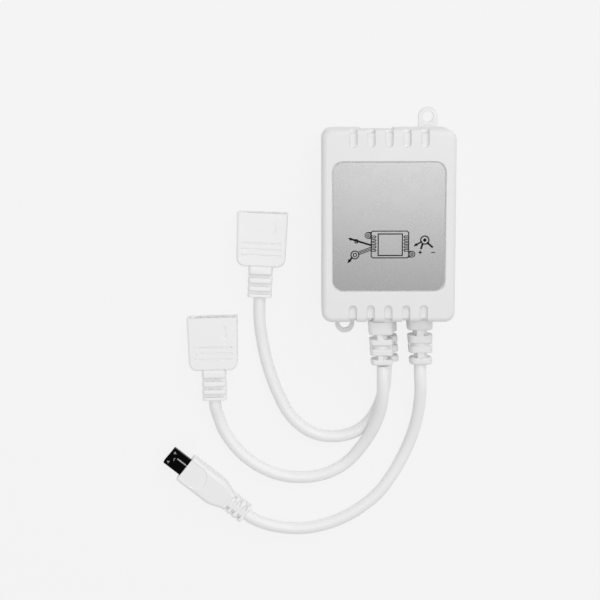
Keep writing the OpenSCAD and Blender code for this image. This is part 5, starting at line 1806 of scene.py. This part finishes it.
class CONTROLLER_OT_conductors(bpy.types.Operator):
    """Make the conductors from the strain reliefs to the board, and their solder"""

    bl_idname = "controller.conductors"
    bl_label = "Conductors"

    # Colours of the conductors in each lead, in the order of their pads
    COLOURS = {"black": "#1B1B1D", "green": "#1E7A43", "red": "#B2222B", "blue": "#23489B"}

    def execute(self, context):
        settings = context.scene.controller
        lead, housing = settings.lead, settings.housing
        low, high = corners("circuit_board")
        finishes = [plastic(f"pvc_extruded_{name}", code, 0.38) for name, code in self.COLOURS.items()]
        finishes.append(solder_tin())
        pads = wire_pads(lead, low)
        start_y, straight, above, below = -housing.length / 2 + 3.5 * MM, 0.8 * MM, 0.8 * MM, 0.7 * MM
        # How high each lead's conductors arch over their pads
        rise = {"upper": lead.pitch, "lower": lead.wire, "receiver": lead.pitch / 2}
        for name, (x, z) in exits(housing, lead).items():
            own = [pad for pad in pads if pad[0] == name]
            parts = []
            for (_, i, pad_x, pad_y), aside in zip(own, spread(len(own), 1.5 * MM)):
                # A short straight run from the relief, a long curve, and the strand through the board
                start = Vector((x + aside, start_y, z))
                a = start + Vector((0, straight, 0))
                d = Vector((pad_x, pad_y, high.z + above))
                b = Vector((a.x, a.y + (d.y - a.y) * 0.6, a.z))
                c = d + Vector((0, 0, rise[name]))
                line = [start] + list(interpolate_bezier(a, b, c, d, 18))
                parts.append(painted(tube(line, lead.wire / 2, roundness=4), i))
                strand = [d + Vector((0, 0, 0.1 * MM)), Vector((pad_x, pad_y, low.z - below))]
                parts.append(painted(tube(strand, 0.36 * MM, roundness=3), len(self.COLOURS)))
            make_piece(
                f"{name}_conductors", gather(parts), finishes, "housing", "wire_insulation", f"{name}_wires")
        # Solder: a fillet round each strand above the board, and a fuller one below
        joints = []
        upper = ((0.95, 0.02), (0.72, 0.1), (0.55, 0.3), (0.46, 0.6), (0, 0.66))
        lower = ((0.95, 0.0), (0.8, -0.14), (0.6, -0.4), (0.44, -0.66), (0.3, -0.78), (0, -0.8))
        for _, _, x, y in pads:
            for profile, z in ((upper, high.z), (lower, low.z)):
                joints.append(turned([(r * MM, h * MM) for r, h in profile], (x, y, z), steps=24))
        make_piece("solder_fillets", gather(joints), [solder_tin()], "housing", "solder", "solder_joints")
        return {"FINISHED"}


class CONTROLLER_OT_finishes(bpy.types.Operator):
    """Give the carried-over pieces their materials"""

    bl_idname = "controller.finishes"
    bl_label = "Finishes"

    def execute(self, context):
        brass = metal("bronze_stamped", "#C9A45A", 0.28)
        insert = plastic("polyester_moulded_white", "#E6E6E3", 0.45)
        given = {
            "upper_socket_insert": insert, "lower_socket_insert": insert,
            "upper_socket_contacts": brass, "lower_socket_contacts": brass,
            "plug_tongue": moulded_black(), "plug_contacts": brass,
        }
        for name, material in given.items():
            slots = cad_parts[name].material_slots
            if not slots:
                raise RuntimeError(f"{name} has no material slot")
            for slot in slots:
                slot.link = "OBJECT"
                slot.material = material
        return {"FINISHED"}


class CONTROLLER_PT_panel(bpy.types.Panel):
    """Lists the steps that dress the controller"""

    bl_idname = "CONTROLLER_PT_panel"
    bl_label = "LED strip controller"
    bl_space_type = "VIEW_3D"
    bl_region_type = "UI"
    bl_category = "Controller"

    def draw(self, context):
        column = self.layout.column(align=True)
        for step in STEPS:
            column.operator(step.bl_idname, text=step.bl_label)


STEPS = (
    CONTROLLER_OT_stage,
    CONTROLLER_OT_base_shell,
    CONTROLLER_OT_top_cover,
    CONTROLLER_OT_label,
    CONTROLLER_OT_strain_reliefs,
    CONTROLLER_OT_sockets,
    CONTROLLER_OT_plug,
    CONTROLLER_OT_leads,
    CONTROLLER_OT_board,
    CONTROLLER_OT_parts,
    CONTROLLER_OT_inlet,
    CONTROLLER_OT_conductors,
    CONTROLLER_OT_finishes,
)
GROUPS = (
    HousingSizes, LabelSizes, LeadSizes, SocketSizes, PlugSizes, Finishes, StageSettings, ControllerSettings)


def register():
    for kind in GROUPS + STEPS + (CONTROLLER_PT_panel,):
        bpy.utils.register_class(kind)
    bpy.types.Scene.controller = PointerProperty(
        type=ControllerSettings, name="Controller", description="Settings of the controller")


def unregister():
    del bpy.types.Scene.controller
    for kind in reversed(GROUPS + STEPS + (CONTROLLER_PT_panel,)):
        bpy.utils.unregister_class(kind)


def main():
    register()
    for step in STEPS:
        group, name = step.bl_idname.split(".")
        getattr(getattr(bpy.ops, group), name)()


if __name__ == "__main__":
    main()
